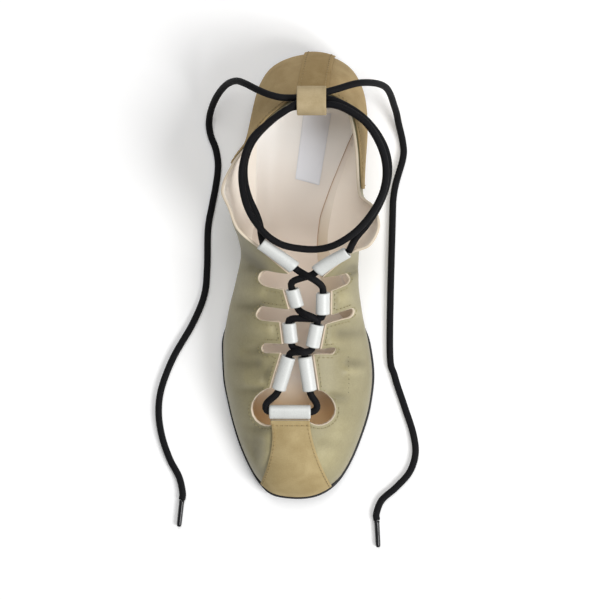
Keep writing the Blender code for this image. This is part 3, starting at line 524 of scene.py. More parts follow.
def profile_runs(points):
    """Distance from the foot along each profile, at the curve's steps."""
    line = bezier([p[:, None, :] for p in points], CURVE_STEPS[None, :, None])
    steps = np.linalg.norm(np.diff(line, axis=1), axis=2)
    return np.concatenate([np.zeros((len(line), 1)), np.cumsum(steps, axis=1)], axis=1)


def wall_length(at):
    return profile_runs(controls(np.atleast_1d(np.asarray(at, float))))[:, -1]


def wall(at, share):
    """Points of the upper's plain outer face, at ring positions and shares of the way up."""
    at, share = np.broadcast_arrays(np.asarray(at, float), np.asarray(share, float))
    points = controls(at.ravel())
    run = profile_runs(points)
    wanted = share.ravel() * run[:, -1]
    after = np.clip((run < wanted[:, None]).sum(axis=1), 1, len(CURVE_STEPS) - 1)
    rows = np.arange(len(wanted))
    low, high = run[rows, after - 1], run[rows, after]
    part = np.clip((wanted - low) / (high - low), 0.0, 1.0)
    u = CURVE_STEPS[after - 1] + part * CURVE_STEPS[1]
    return bezier(points, u[:, None]).reshape(at.shape + (3,))


def wall_normal(at, share):
    """Unit vectors out of the upper's plain face."""
    along_step, up_step = 0.04, 0.02
    share = np.asarray(share, float)
    up = wall(at, np.minimum(share + up_step, 1.0)) - wall(at, np.maximum(share - up_step, 0.0))
    at = np.asarray(at, float)
    along = wall(at + along_step, share) - wall(at - along_step, share)
    return unit(np.cross(up, along))


def post_at(side, name, beyond=0.0):
    """Ring position of a post, or of a place beyond it towards the heel."""
    posts = LATERAL_POSTS if side == "lateral" else MEDIAL_POSTS
    place = 1 + [post.name for post in posts].index(name) + beyond
    return place if side == "lateral" else RING_SIZE - place


def notch_of(index):
    """The slit between post index and the next round the ring, or None."""
    if index < BACK_AT:
        return LATERAL_NOTCHES.get(RING[index].name)
    return MEDIAL_NOTCHES.get(RING[(index + 1) % RING_SIZE].name)


def from_toe(index, part):
    """A share of the way from post index to the next, counted from the toe on both sides."""
    return part if index < BACK_AT else 1 - part


def side_depth(index):
    """How far below the top edge the band of tabs begins at post index."""
    for here, part in ((index, 0.0), (index - 1, 1.0)):
        notch = notch_of(here % RING_SIZE)
        if notch:
            return notch.low_depth + (notch.high_depth - notch.low_depth) * from_toe(here, part)
    return EDGE_BAND


def root_depth(at):
    """How far below the top edge the band of tabs, or the end of a slit, lies."""
    whole = math.floor(at + SNAP)
    index, part = whole % RING_SIZE, at - whole
    near, far = side_depth(index), side_depth((index + 1) % RING_SIZE)
    depth = near + (far - near) * part
    notch = notch_of(index)
    if notch and notch.lean:
        depth += notch.sweep * math.sin(math.pi * from_toe(index, part) ** notch.lean)
    elif notch:
        depth += notch.sweep * math.sqrt(max(0.0, 1 - (2 * part - 1) ** 2))
    return depth


def folded(points, folds=FOLDS):
    """How far a table of folds lifts the face at these points."""
    lift = np.zeros(points.shape[:-1])
    for row in folds:
        start, end = np.array([row.x, row.y]), np.array([row.to_x, row.to_y])
        way = end - start
        part = np.clip((points[..., :2] - start) @ way / (way @ way), 0.0, 1.0)
        apart = np.linalg.norm(points[..., :2] - start - part[..., None] * way, axis=-1)
        lift += row.height * np.exp(-((apart / row.width) ** 2)) * (1 - part**2)
    return lift


def fold_lift(at, share):
    """How far the folds lift the plain face, which they leave alone by the tunnels and the sole."""
    points = wall(at, share)
    at, share = np.broadcast_arrays(np.asarray(at, float), np.asarray(share, float))
    length = wall_length(at.ravel()).reshape(at.shape)
    free = ease((1 - share) * length, *FOLD_FREE) * ease(share * length, *FOLD_FADE)
    return folded(points) * free


def skin(at, share, lift=0.0):
    """Points on the creased outer face, or lifted off it.

    Folds rise upright, so slits stay true, and not where the wall is steep or leans out.
    """
    normal = wall_normal(at, share)
    points = wall(at, share) + normal * lift
    points[..., 2] += fold_lift(at, share) * ease(normal[..., 2], *FOLD_STEEP)
    return points


def upper_columns():
    """Ring positions of the wall's columns, and what kind of stretch each begins."""
    places, kinds = [], []
    for index in range(RING_SIZE):
        kind = kind_of(index)
        count = max(3, round(SPACING[index] / COLUMN_STEP))
        parts = np.arange(count) / count
        if kind == "notch":
            parts = (1 - np.cos(math.pi * np.arange(NOTCH_COLUMNS) / NOTCH_COLUMNS)) / 2
        places.extend(index + parts)
        kinds.extend([kind] * len(parts))
    return np.array(places), kinds


def column_shares(at):
    """Shares of the way up each column: the wall below the slits' roots, then the tabs' band."""
    root = 1 - np.array([root_depth(place) for place in at]) / wall_length(at)
    lower = root[:, None] * np.linspace(0.0, 1.0, LOWER_ROWS + 1)
    band = root[:, None] + (1 - root[:, None]) * np.linspace(0.0, 1.0, BAND_ROWS + 1)[1:]
    return np.concatenate([lower, band], axis=1)


def upper_sheet():
    """The upper's outer face as points and quads, laid flat, with its measures for the dye and for
    the painted light and shade.
    """
    at, kinds = upper_columns()
    share = column_shares(at)
    points = skin(at[:, None], share)
    length = wall_length(at)
    bare = (1 - share) * length[:, None]
    rows = share.shape[1]
    open_top = np.array([k == "notch" and abs(p - round(p)) > SNAP for p, k in zip(at, kinds)])
    before = [kinds[k - 1] for k in range(len(kinds))]
    beside_tab = np.array([k == "tab" or b == "tab" for k, b in zip(kinds, before)])
    bare[~beside_tab] += EDGE_BAND
    flat = np.stack([knot(at)[:, None].repeat(rows, 1), share * length[:, None]], axis=-1)
    number = np.arange(share.size).reshape(share.shape)
    faces = []
    for k, kind in enumerate(kinds):
        here, there = number[k], number[(k + 1) % len(kinds)]
        for row in range(LOWER_ROWS if kind == "notch" else rows - 1):
            faces.append((here[row], here[row + 1], there[row + 1], there[row]))
    used = np.ones(share.shape, bool)
    used[open_top, LOWER_ROWS + 1 :] = False
    renumber = np.cumsum(used.ravel()) - 1
    faces = renumber[np.array(faces)]
    keep = used.ravel()
    # Painted light and shade for the dye: the folds' height and the toe's painted highlights, faded
    # where the wall faces down
    painted_light = fold_lift(at[:, None], share) + folded(points, TOE_HIGHLIGHTS)
    painted_light *= ease(wall_normal(at[:, None], share)[..., 2], *SHADING_STEEP)
    measures = {"from_tunnel_mm": bare.ravel()[keep], "painted_light_mm": painted_light.ravel()[keep]}
    return points.reshape(-1, 3)[keep], faces, flat.reshape(-1, 2)[keep], measures


def face_normals(points, faces):
    """Unit normals at the points, from the faces round them."""
    corners = points[faces]
    normal = np.cross(corners[:, 2] - corners[:, 0], corners[:, 3] - corners[:, 1])
    total = np.zeros_like(points)
    for k in range(4):
        np.add.at(total, faces[:, k], normal)
    return unit(total)


def shell(points, faces, thickness, bulge=RIM_BULGE):
    """A closed skin from a sheet of quads: its face, its lining and a rounded rim between them.

    Gives the points, the faces, each face's part (0 face, 1 lining, 2 rim) and each point's source.
    """
    faces = np.asarray(faces)
    count = len(points)
    normal = face_normals(points, faces)
    sides = np.concatenate([faces[:, [k, (k + 1) % 4]] for k in range(4)])
    known = {(a, b) for a, b in sides.tolist()}
    rim = np.array([side for side in sides.tolist() if (side[1], side[0]) not in known])
    ahead = np.zeros_like(points)
    np.add.at(ahead, rim[:, 0], unit(points[rim[:, 1]] - points[rim[:, 0]]))
    np.add.at(ahead, rim[:, 1], unit(points[rim[:, 1]] - points[rim[:, 0]]))
    edge = np.unique(rim)
    off = unit(np.cross(ahead[edge], normal[edge]))
    place = np.full(count, -1)
    place[edge] = np.arange(len(edge))
    layers, source = [points, points - normal * thickness], [np.arange(count)] * 2
    for k in range(1, RIM_STEPS + 1):
        turn = math.pi * k / (RIM_STEPS + 1)
        middle = points[edge] - normal[edge] * thickness / 2
        high = normal[edge] * thickness / 2 * math.cos(turn)
        layers.append(middle + high + off * bulge * math.sin(turn))
        source.append(edge)
    one, two = rim[:, 0], rim[:, 1]
    rings = [(one, two)]
    for k in range(RIM_STEPS):
        start = 2 * count + k * len(edge)
        rings.append((place[one] + start, place[two] + start))
    rings.append((one + count, two + count))
    strips = [np.column_stack([b, a, c, d]) for (a, b), (c, d) in zip(rings, rings[1:])]
    every = np.concatenate([faces, faces[:, ::-1] + count] + strips)
    part = np.repeat([0, 1, 2], [len(faces), len(faces), len(rim) * (RIM_STEPS + 1)])
    return np.concatenate(layers), every, part, np.concatenate(source)


def olive_nappa():
    """Dyed nappa with a satin finish: a close soft grain, faint mottling and a broad low sheen.

    A narrow strip along each tunnel is left undyed, by the face's own distance from that edge. The
    folds' troughs are painted darker and their ridges paler, painted shade and highlight, and a few
    flat places at the toe are painted pale as highlights.
    """
    made, tree, shader = new_finish("olive_nappa", 0.5, 0.45)
    place = add_node(tree, "ShaderNodeTexCoord").outputs["Object"]
    cells = {"Vector": place, "Scale": 1 / (NAPPA_GRAIN * MM), "Randomness": 1.0}
    grain = add_node(tree, "ShaderNodeTexVoronoi", cells, feature="SMOOTH_F1").outputs["Distance"]
    patches = {"Vector": place, "Scale": 1 / (NAPPA_MOTTLE * MM), "Detail": 5.0, "Roughness": 0.62}
    mottle = add_node(tree, "ShaderNodeTexNoise", patches).outputs["Fac"]
    dyes = {"Factor": mottle, "A": linear("#958c67"), "B": linear("#aea582")}
    dye_and_shade = add_node(tree, "ShaderNodeMix", dyes, data_type="RGBA").outputs["Result"]
    pits = {"Value": grain, "From Max": 0.9, "To Min": 1.03, "To Max": 0.9}
    # Painted shade and highlight by fold height: troughs darker, ridges and the toe's flat
    # highlights paler
    folds = add_node(tree, "ShaderNodeAttribute", attribute_name="painted_light_mm").outputs["Fac"]
    for shade in (pits, {"Value": folds, **FOLD_SHADING}):
        shaded = add_node(tree, "ShaderNodeMapRange", shade).outputs["Result"]
        layers = {"Factor": 1.0, "A": dye_and_shade, "B": shaded}
        layered = add_node(tree, "ShaderNodeMix", layers, data_type="RGBA", blend_type="MULTIPLY")
        dye_and_shade = layered.outputs["Result"]
    edge = add_node(tree, "ShaderNodeAttribute", attribute_name="from_tunnel_mm").outputs["Fac"]
    strip = {"Value": edge, "From Min": BARE_EDGE, "From Max": BARE_EDGE + DYE_BLUR}
    inside = add_node(tree, "ShaderNodeMapRange", strip).outputs["Result"]
    sides = {"Factor": inside, "A": linear("#d9c4ae"), "B": dye_and_shade}
    colour = add_node(tree, "ShaderNodeMix", sides, data_type="RGBA")
    gloss = add_node(tree, "ShaderNodeMapRange", {"Value": mottle, "To Min": 0.42, "To Max": 0.58})
    relief = {"Height": grain, "Strength": 0.3, "Distance": 0.12 * MM}
    bump = add_node(tree, "ShaderNodeBump", relief, invert=True)
    feed(shader, {
        "Base Color": colour.outputs["Result"],
        "Roughness": gloss.outputs["Result"],
        "Normal": bump.outputs["Normal"],
        "Sheen Weight": 0.12,
        "Sheen Roughness": 0.4,
    })
    return made


def nude_leather(name, dark, light, roughness, grades=(), fade=None):
    """Undyed kid leather, smooth from the glazing roller, with faint clouds and a tight grain.

    Grades tint it along the shoe with painted shade and warm painted reflected light, pale at the
    heel and tan inside the toe, as far as the fade attribute lets them.
    """
    made, tree, shader = new_finish(name, roughness, 0.4)
    place = add_node(tree, "ShaderNodeTexCoord").outputs["Object"]
    patches = {"Vector": place, "Scale": 1 / (LINING_CLOUD * MM), "Detail": 4.0}
    clouds = add_node(tree, "ShaderNodeTexNoise", patches)
    tints = {"Factor": clouds.outputs["Fac"], "A": linear(dark), "B": linear(light)}
    colour = add_node(tree, "ShaderNodeMix", tints, data_type="RGBA").outputs["Result"]
    if grades:
        along = add_node(tree, "ShaderNodeSeparateXYZ", {"Vector": place}).outputs["Y"]
        span = {"Value": along, "From Min": TOE_END_Y * MM, "From Max": HEEL_END_Y * MM}
        run = add_node(tree, "ShaderNodeMapRange", span)
        ramp = add_node(tree, "ShaderNodeValToRGB", {"Fac": run.outputs["Result"]})
        stops = ramp.color_ramp.elements
        for k, grade in enumerate(grades):
            stop = stops[k] if k < 2 else stops.new(1.0)
            stop.color = linear(grade.tint)
            stop.position = (grade.y - TOE_END_Y) / (HEEL_END_Y - TOE_END_Y)
        layers = {"Factor": 1.0, "A": colour, "B": ramp.outputs["Color"]}
        if fade:
            amount = add_node(tree, "ShaderNodeAttribute", attribute_name=fade)
            layers["Factor"] = amount.outputs["Fac"]
        painted_shade = add_node(tree, "ShaderNodeMix", layers, data_type="RGBA", blend_type="MULTIPLY")
        colour = painted_shade.outputs["Result"]
    cells = {"Vector": place, "Scale": 1 / (LINING_GRAIN * MM)}
    grain = add_node(tree, "ShaderNodeTexVoronoi", cells, feature="SMOOTH_F1")
    relief = {"Height": grain.outputs["Distance"], "Strength": 0.18, "Distance": 0.08 * MM}
    bump = add_node(tree, "ShaderNodeBump", relief, invert=True)
    feed(shader, {"Base Color": colour, "Normal": bump.outputs["Normal"]})
    return made


OLIVE = olive_nappa()
ShadeGrade = namedtuple("ShadeGrade", "y tint")
# Painted shade and warm painted reflected light on the lining, tan inside the toe
LINING_SHADE = [ShadeGrade(-76.0, "#ffe2b4"), ShadeGrade(-52.0, "#fff6ec"), ShadeGrade(60.0, "#ffffff")]
LINING = nude_leather("nude_lining", "#f8efe4", "#fdf6ec", 0.48, LINING_SHADE)
RAW_EDGE = nude_leather("raw_edge", "#cfc0aa", "#dfd2be", 0.75)

face_points, face_quads, face_flat, face_measures = upper_sheet()
points, faces, part, source = shell(face_points, face_quads, WALL)
measures = {name: values[source] for name, values in face_measures.items()}
mesh_piece("upper_body", points, faces, [OLIVE, LINING, RAW_EDGE], ["upper"],
           part, face_flat[source] * MM, measures)


# Insole
# A lined board fills the shoe's floor, and the lining curves up from it into the arch. On it lies a
# thin nude leather sock that runs up into the outer side. Its cut edge along the arch is painted as
# a fine brown line, a painted shadow where it meets the lining, and a small pale woven label is
# bonded to its heel.

INSOLE_THICK = 2.0
SOCK_THICK = 0.7
INSOLE_STATIONS = 160
SOCK_ROWS = 30
ARCH_ROWS = 12
WALL_TUCK = 0.5
UNDER_INSET = 0.04
CUP = 0.5
COVE_RISE = 6.0
COVE_SHARE = 0.28
ARCH_RISE = 0.55
SOCK_LINE_END = 13.0
SOCK_BULGE = 0.25
LINING_REACH = 0.5
LINING_STEPS = 32
LABEL_THICK = 0.35
LABEL_BULGE = 0.1
LABEL_COLUMNS = 15
LABEL_ROWS = 37
# The weft is drawn coarser than a real one, so that it shows. A wave texture of scale 1 has
# WAVE_BANDS bands a unit
LABEL_WEAVE = 0.55
WAVE_BANDS = 20 / (2 * math.pi)

# The sock's inner edge along the arch; elsewhere it runs on to the lining
EdgePoint = namedtuple("EdgePoint", "y x")
SOCK_EDGE = [
    EdgePoint(-40.0, 40.0),
    EdgePoint(-14.0, 16.0),
    EdgePoint(2.0, 9.8),
    EdgePoint(16.0, 8.6),
    EdgePoint(30.0, 9.8),
    EdgePoint(44.5, 14.2),
    EdgePoint(60.8, 20.6),
    EdgePoint(79.0, 28.4),
    EdgePoint(96.0, 38.0),
]

# The label's corners in plan
LABEL_CORNERS = {
    "back_left": (1.5, 91.5),
    "back_right": (16.6, 90.2),
    "front_left": (-3.2, 54.2),
    "front_right": (9.9, 50.7),
}


def position_over(way):
    """Ring positions whose feet stand at way on the outline."""
    at = np.linspace(0.0, RING_SIZE, 8 * RING_SIZE + 1)
    along = np.concatenate([knot(at[:-1]), [RING_LENGTH]])
    ways = np.interp(along, np.arange(RING_SAMPLES) * RING_LENGTH / RING_SAMPLES, FOOT_WAYS)
    ways[-1] = 2 * math.pi
    return np.interp(way, ways, at)


def lining_edge(way, rise):
    """Points tucked behind the lining at way on the outline, this far above the board's face."""
    at = position_over(way)
    share = np.linspace(0.0, LINING_REACH, LINING_STEPS)
    inner = wall(at[:, None], share) - wall_normal(at[:, None], share) * (WALL - WALL_TUCK)
    level = sole_top(outline(way)[:, 1]) + GAP + INSOLE_THICK - SOCK_THICK + rise
    edge = []
    for line, height in zip(inner, level):
        climb = np.maximum.accumulate(line[:, 2])
        edge.append([np.interp(height, climb, line[:, axis]) for axis in (0, 1)] + [height])
    return np.array(edge)


insole_turns = np.linspace(0.0, math.pi, INSOLE_STATIONS + 1)
lateral_edge = lining_edge(math.pi - insole_turns, COVE_RISE) - [0.0, 0.0, COVE_RISE]
medial_floor = lining_edge(math.pi + insole_turns, 0.0)
lateral_under = lining_edge(math.pi - insole_turns, SOCK_THICK - INSOLE_THICK)
medial_under = lining_edge(math.pi + insole_turns, SOCK_THICK - INSOLE_THICK)
edge_y = np.clip(medial_floor[:, 1], SOCK_EDGE[0].y, SOCK_EDGE[-1].y)
edge_x = pchip([row.y for row in SOCK_EDGE], [row.x for row in SOCK_EDGE], edge_y)
sock_x = np.minimum(edge_x, medial_floor[:, 0])
sock_end = np.column_stack([sock_x, medial_floor[:, 1:]])
arch_rise = ARCH_RISE * (medial_floor[:, 0] - sock_x)
medial_edge = lining_edge(math.pi + insole_turns, arch_rise)


def insole_line(share, start, end):
    """Rows of points between two edges."""
    return start[:, None, :] * (1 - share[:, None]) + end[:, None, :] * share[:, None]


def cove(share):
    """Rise of the floor up the outer lining."""
    return COVE_RISE * np.maximum(0.0, 1 - share / COVE_SHARE) ** 2


def cup(share):
    """Rise of the sock from its middle: a little at both sides, and up the outer lining."""
    return CUP * np.abs(2 * share - 1) ** 4 + cove(share)


def board_mesh():
    """The board from the outer lining to the sock's edge, the arch's curve, and the underside.

    Also how much of its painted shade each point shows: the arch fades into the plain lining.
    """
    share = np.linspace(0.0, 1.0, SOCK_ROWS + 1)
    flat = insole_line(share, lateral_edge, sock_end)
    flat[..., 2] += cove(share)
    turn = np.linspace(0.0, math.pi / 2, ARCH_ROWS + 1)[1:]
    arch = insole_line(np.sin(turn), sock_end, medial_edge)
    arch[..., 2] = sock_end[:, None, 2] + (medial_edge - sock_end)[:, None, 2] * (1 - np.cos(turn))
    under = insole_line(np.array([UNDER_INSET, 1 - UNDER_INSET]), medial_under, lateral_under)
    line = np.concatenate([flat, arch, under], axis=1)
    rows = line.shape[1]
    painted_shade = np.concatenate([np.ones(len(share)), np.cos(turn), np.ones(2)])
    number = np.arange(line.shape[0] * rows).reshape(-1, rows)
    beside = np.roll(number, -1, axis=1)
    faces = np.stack([number[:-1], number[1:], beside[1:], beside[:-1]], axis=-1)
    return line.reshape(-1, 3), faces.reshape(-1, 4), np.tile(painted_shade, len(line))


def grid_faces(columns, rows):
    """Quads of a grid whose points run up each column in turn."""
    number = np.arange(columns * rows).reshape(columns, rows)
    here, there = number[:-1], number[1:]
    quads = [here[:, :-1], here[:, 1:], there[:, 1:], there[:, :-1]]
    return np.stack(quads, axis=-1).reshape(-1, 4)


def sock_sheet():
    """The sock's face, from near the outer lining to its inner edge."""
    share = np.linspace(0.0, 1.0, SOCK_ROWS + 1)
    line = insole_line(share, lateral_edge, sock_end)[2:-2]
    line[..., 2] += SOCK_THICK + cup(share)
    return line.reshape(-1, 3), grid_faces(len(line), len(share))[:, ::-1]


def footbed(x, y):
    """Height of the sock's face at plan places."""
    order = np.argsort(lateral_edge[:, 1])
    lateral = np.interp(y, lateral_edge[order, 1], lateral_edge[order, 0])
    medial = np.interp(y, medial_floor[::-1, 1], sock_x[::-1])
    share = np.clip((x - lateral) / (medial - lateral), 0.0, 1.0)
    level = np.interp(y, lateral_edge[order, 1], lateral_edge[order, 2])
    return level + SOCK_THICK + cup(share)


def woven_label():
    """A satin-woven tape: pale grey lilac, with the fine ribs of its weft."""
    made, tree, shader = new_finish("woven_label", 0.42, 0.5)
    place = add_node(tree, "ShaderNodeTexCoord").outputs["Object"]
    threads = {"Vector": place, "Scale": 1 / (LABEL_WEAVE * MM) / WAVE_BANDS}
    weft = add_node(tree, "ShaderNodeTexWave", threads, bands_direction="Y")
    tint_and_raise(shader, weft.outputs["Fac"], "#dfe2ea", "#ebedf3", 0.2, 0.06)
    return made


def label_sheet():
    """The label's face, draped on the sock between its corners."""
    corner = {name: np.array(place) for name, place in LABEL_CORNERS.items()}
    across = np.linspace(0.0, 1.0, LABEL_COLUMNS)[:, None, None]
    along = np.linspace(0.0, 1.0, LABEL_ROWS)[None, :, None]
    front = corner["front_right"] * (1 - across) + corner["front_left"] * across
    back = corner["back_right"] * (1 - across) + corner["back_left"] * across
    plan = front * (1 - along) + back * along
    height = footbed(plan[..., 0], plan[..., 1]) + LABEL_THICK
    points = np.concatenate([plan, height[..., None]], axis=-1)
    return points.reshape(-1, 3), grid_faces(LABEL_COLUMNS, LABEL_ROWS)


# Painted shade along the board and the sock: tan inside the toe, darker midway along the shoe,
# white at the heel
BOARD_SHADE = [
    ShadeGrade(-76.0, "#ffe2b4"),
    ShadeGrade(-50.0, "#f6eee2"),
    ShadeGrade(20.0, "#dfd6c6"),
    ShadeGrade(40.0, "#f1f0ec"),
    ShadeGrade(70.0, "#ffffff"),
]
BOARD = nude_leather("board_lining", "#f6ebdf", "#fbf3e9", 0.48, BOARD_SHADE, "painted_shade")
SOCK_SHADE = [
    ShadeGrade(-76.0, "#ffe2b4"),
    ShadeGrade(-56.0, "#fffaf3"),
    ShadeGrade(6.0, "#faede1"),
    ShadeGrade(28.0, "#e4d9ce"),
    ShadeGrade(56.0, "#eee8e2"),
    ShadeGrade(80.0, "#ffffff"),
]
SOCK = nude_leather("insole_sock", "#f6f4f1", "#fcfbf9", 0.45, SOCK_SHADE)
# The sock's cut edge along the arch is painted brown: a painted shadow line where it meets the
# lining
SOCK_EDGE_SHADOW = nude_leather("sock_edge_shadow", "#a9815f", "#bd9675", 0.8)
points, faces, painted_shade = board_mesh()
mesh_piece("insole_board", points, faces, [BOARD], ["insole"],
           floats={"painted_shade": painted_shade})
points, faces, part, source = shell(*sock_sheet(), SOCK_THICK, SOCK_BULGE)
inner_side = source[faces[:, :2]] % (SOCK_ROWS + 1) == SOCK_ROWS
behind_throat = points[faces, 1].mean(axis=1) > SOCK_LINE_END
cut_edge = (part == 2) & inner_side.all(axis=1) & behind_throat
mesh_piece("insole_sock", points, faces, [SOCK, SOCK_EDGE_SHADOW], face_finish=cut_edge)
points, faces = shell(*label_sheet(), LABEL_THICK, LABEL_BULGE)[:2]
mesh_piece("insole_label", points, faces, [woven_label()])


# Toe patch and heel counter
# Two panels of tan suede laid over the upper and sewn down: one over the toe, between the seams
# that flare to its point, and one round the heel. Their edges are cut clean and stand proud.

PANEL_THICK = 0.8
PANEL_MARGIN = 1.6
TOE_TOP_MARGIN = 0.2
PANEL_STEP = 0.9
PANEL_ROWS = 64
# The nap is drawn coarser than real fibres, so that it shows
NAP = 0.55
NAP_PATCH = 11.0


def suede(name, dark, light):
    """Suede, buffed on the flesh side: a short nap that catches light in soft patches."""
    made, tree, shader = new_finish(name, 0.92, 0.2)
    feed(shader, {"Sheen Weight": 0.3, "Sheen Roughness": 0.5, "Sheen Tint": linear(light)})
    place = add_node(tree, "ShaderNodeTexCoord").outputs["Object"]
    brushed = {"Vector": place, "Scale": 1 / (NAP_PATCH * MM), "Detail": 3.0, "Distortion": 0.4}
    patches = add_node(tree, "ShaderNodeTexNoise", brushed)
    fibres = {"Vector": place, "Scale": 1 / (NAP * MM), "Detail": 3.0, "Roughness": 0.7}
    nap = add_node(tree, "ShaderNodeTexNoise", fibres).outputs["Fac"]
    both = add_node(tree, "ShaderNodeMix", {"Factor": 0.4, "A": patches.outputs["Fac"], "B": nap})
    contrast = {"Value": both.outputs["Result"], "From Min": 0.33, "From Max": 0.67}
    spread = add_node(tree, "ShaderNodeMapRange", contrast)
    tint_and_raise(shader, spread.outputs["Result"], dark, light, 0.5, 0.18, nap)
    return made


def panel_sheet(start, end, top_margin):
    """The outer face of a panel laid on the upper from one ring position to another."""
    if end < start:
        start -= RING_SIZE
    run = np.unwrap(knot(np.linspace(start, end, 200)), period=RING_LENGTH)
    count = max(8, round(float(np.abs(np.diff(run)).sum()) / PANEL_STEP))
    at = np.linspace(start, end, count)
    foot, top = PANEL_MARGIN / wall_length(at), 1 - top_margin / wall_length(at)
    share = foot[:, None] + (top - foot)[:, None] * np.linspace(0.0, 1.0, PANEL_ROWS)
    points = skin(at[:, None], share, GAP + PANEL_THICK)
    return points.reshape(-1, 3), grid_faces(count, PANEL_ROWS)


TOE_START = post_at("medial", "toe_corner")
TOE_END = post_at("lateral", "toe_corner")
COUNTER_START = post_at("lateral", "wing_back")
COUNTER_END = post_at("medial", "collar_dip", 0.15)

TOE_SUEDE = suede("toe_suede", "#a18d63", "#b9a67c")
# The heel's suede is a darker copy of the toe's: painted shade on the heel, which faces away from
# the lamp
SHADED_HEEL_SUEDE = suede("heel_suede_shaded", "#978059", "#b09a72")
for name, start, end, margin, finish in (
    ("toe_patch", TOE_START, TOE_END, TOE_TOP_MARGIN, TOE_SUEDE),
    ("heel_counter", COUNTER_START, COUNTER_END, PANEL_MARGIN, SHADED_HEEL_SUEDE),
):
    points, faces = shell(*panel_sheet(start, end, margin), PANEL_THICK)[:2]
    mesh_piece(name + "_suede", points, faces, [finish], [name])


# Heel strip and loop
# A suede strip sewn up the back seam. At the top it turns over into a loop that the lace runs
# through, and its end is tucked inside the collar. The strip's suede is painted darker, painted
# shade, and the loop's flat top paler, a painted highlight.

STRIP_LIFT = 1.5
STRIP_THICK = 0.9
STRIP_HALF_WIDTH = 7.6
STRIP_LEAN = 3.4
STRIP_START = 0.1
STRIP_END = 0.985
STRIP_COLUMNS = 19
STRIP_CLIMB_ROWS = 12
LOOP_FOLD = 1.0
BACK_REACH = 1.5
BACK_STEPS = 121
LINE_PARTS = 16

# A step up the strip, as the way that all its columns' points go together
STRIP_STEP = 3.96

# The loop beyond the heel's top edge: forward of it and above it
LoopPoint = namedtuple("LoopPoint", "forward up")
HEEL_LOOP = [
    LoopPoint(-2.8, 2.6),
    LoopPoint(-3.2, 6.6),
    LoopPoint(-1.2, 9.6),
    LoopPoint(3.6, 10.8),
    LoopPoint(8.5, 10.2),
    LoopPoint(11.8, 7.2),
    LoopPoint(12.4, 3.0),
    LoopPoint(10.4, -0.8),
    LoopPoint(6.4, -2.0),
    LoopPoint(3.0, -3.2),
]


def smooth_line(points, step):
    """A smooth line through the points, read off at about one step apart."""
    given = np.asarray(points, float)
    ends = np.vstack([2 * given[0] - given[1], given, 2 * given[-1] - given[-2]])
    u = np.linspace(0, 1, LINE_PARTS, endpoint=False)[:, None]
    fine = []
    for a, b, c, d in zip(ends, ends[1:], ends[2:], ends[3:]):
        square = (2 * a - 5 * b + 4 * c - d) * u**2
        cube = (3 * b - a - 3 * c + d) * u**3
        fine.append((2 * b + (c - a) * u + square + cube) / 2)
    fine = np.vstack(fine + [given[-1:]])
    length = np.concatenate([[0], np.cumsum(np.linalg.norm(np.diff(fine, axis=0), axis=1))])
    wanted = np.linspace(0, length[-1], max(2, round(length[-1] / step) + 1))
    return np.stack([np.interp(wanted, length, values) for values in fine.T], axis=1)


def back_position(x, share):
    """Ring position at the heel of a place across the strip, which leans as it climbs to share."""
    at = np.linspace(BACK_AT - BACK_REACH, BACK_AT + BACK_REACH, BACK_STEPS)
    return np.interp(x + STRIP_LEAN * (1 - share), wall(at, share)[:, 0], at)


def strip_sheet():
    """The strip's outer face: up the heel's wall, then round the loop."""
    back = np.array([BACK_POST.top_x, BACK_POST.top_y, BACK_POST.top_z])
    columns = []
    for offset in np.linspace(-STRIP_HALF_WIDTH, STRIP_HALF_WIDTH, STRIP_COLUMNS):
        share = np.linspace(STRIP_START, STRIP_END, STRIP_CLIMB_ROWS)
        at = np.array([back_position(back[0] + offset, s) for s in share])
        climb = skin(at, share, STRIP_LIFT + STRIP_THICK)
        loop = [back + np.array([offset, -step.forward, step.up]) for step in HEEL_LOOP]
        columns.append(np.vstack([climb, loop]))
    together = np.array(columns).transpose(1, 0, 2).reshape(len(columns[0]), -1)
    line = smooth_line(together, STRIP_STEP)
    rows = len(line)
    points = line.reshape(rows, STRIP_COLUMNS, 3).transpose(1, 0, 2)
    return points.reshape(-1, 3), grid_faces(STRIP_COLUMNS, rows)


points, faces = shell(*strip_sheet(), STRIP_THICK)[:2]
SHADED_STRIP_SUEDE = suede("strip_suede_shaded", "#8f7850", "#a89168")
LIT_LOOP_SUEDE = suede("loop_suede_lit", "#a5936f", "#beac8a")
# Faces over the heel's top edge take the paler suede: a painted highlight on the loop's flat top
place = points[faces[:, 0]]
over_edge = place[:, 2] > BACK_POST.top_z + LOOP_FOLD
loop_part = over_edge | (place[:, 1] < BACK_POST.top_y - LOOP_FOLD)
mesh_piece("heel_strip", points, faces, [SHADED_STRIP_SUEDE, LIT_LOOP_SUEDE],
           ["heel_strip_loop"], loop_part)


# Lace tunnels
# Nine short tubes of white leather tape, folded over and sewn to the edge of the throat and of each
# tab. They take the place of eyelets: the lace runs through them from mouth to mouth.

TUNNEL_HALF_WIDTH = 3.9
TUNNEL_HALF_HEIGHT = 3.2
TUNNEL_WALL = 0.8
TUNNEL_GAP = 0.7
TUNNEL_INSET = 0.8
TUNNEL_SIDES = 36
TUNNEL_STATIONS = 22
TAPE_RUN_ON = {"toe": (1.1, 1.1), "lateral_4": (0.0, 2.4)}
MOUTH_ROUND = 0.35
UNDER_EDGE = 0.97
SIDES = ("lateral", "medial")

# Drawn coarser than a real grain, so that it shows
TAPE_GRAIN = 0.6


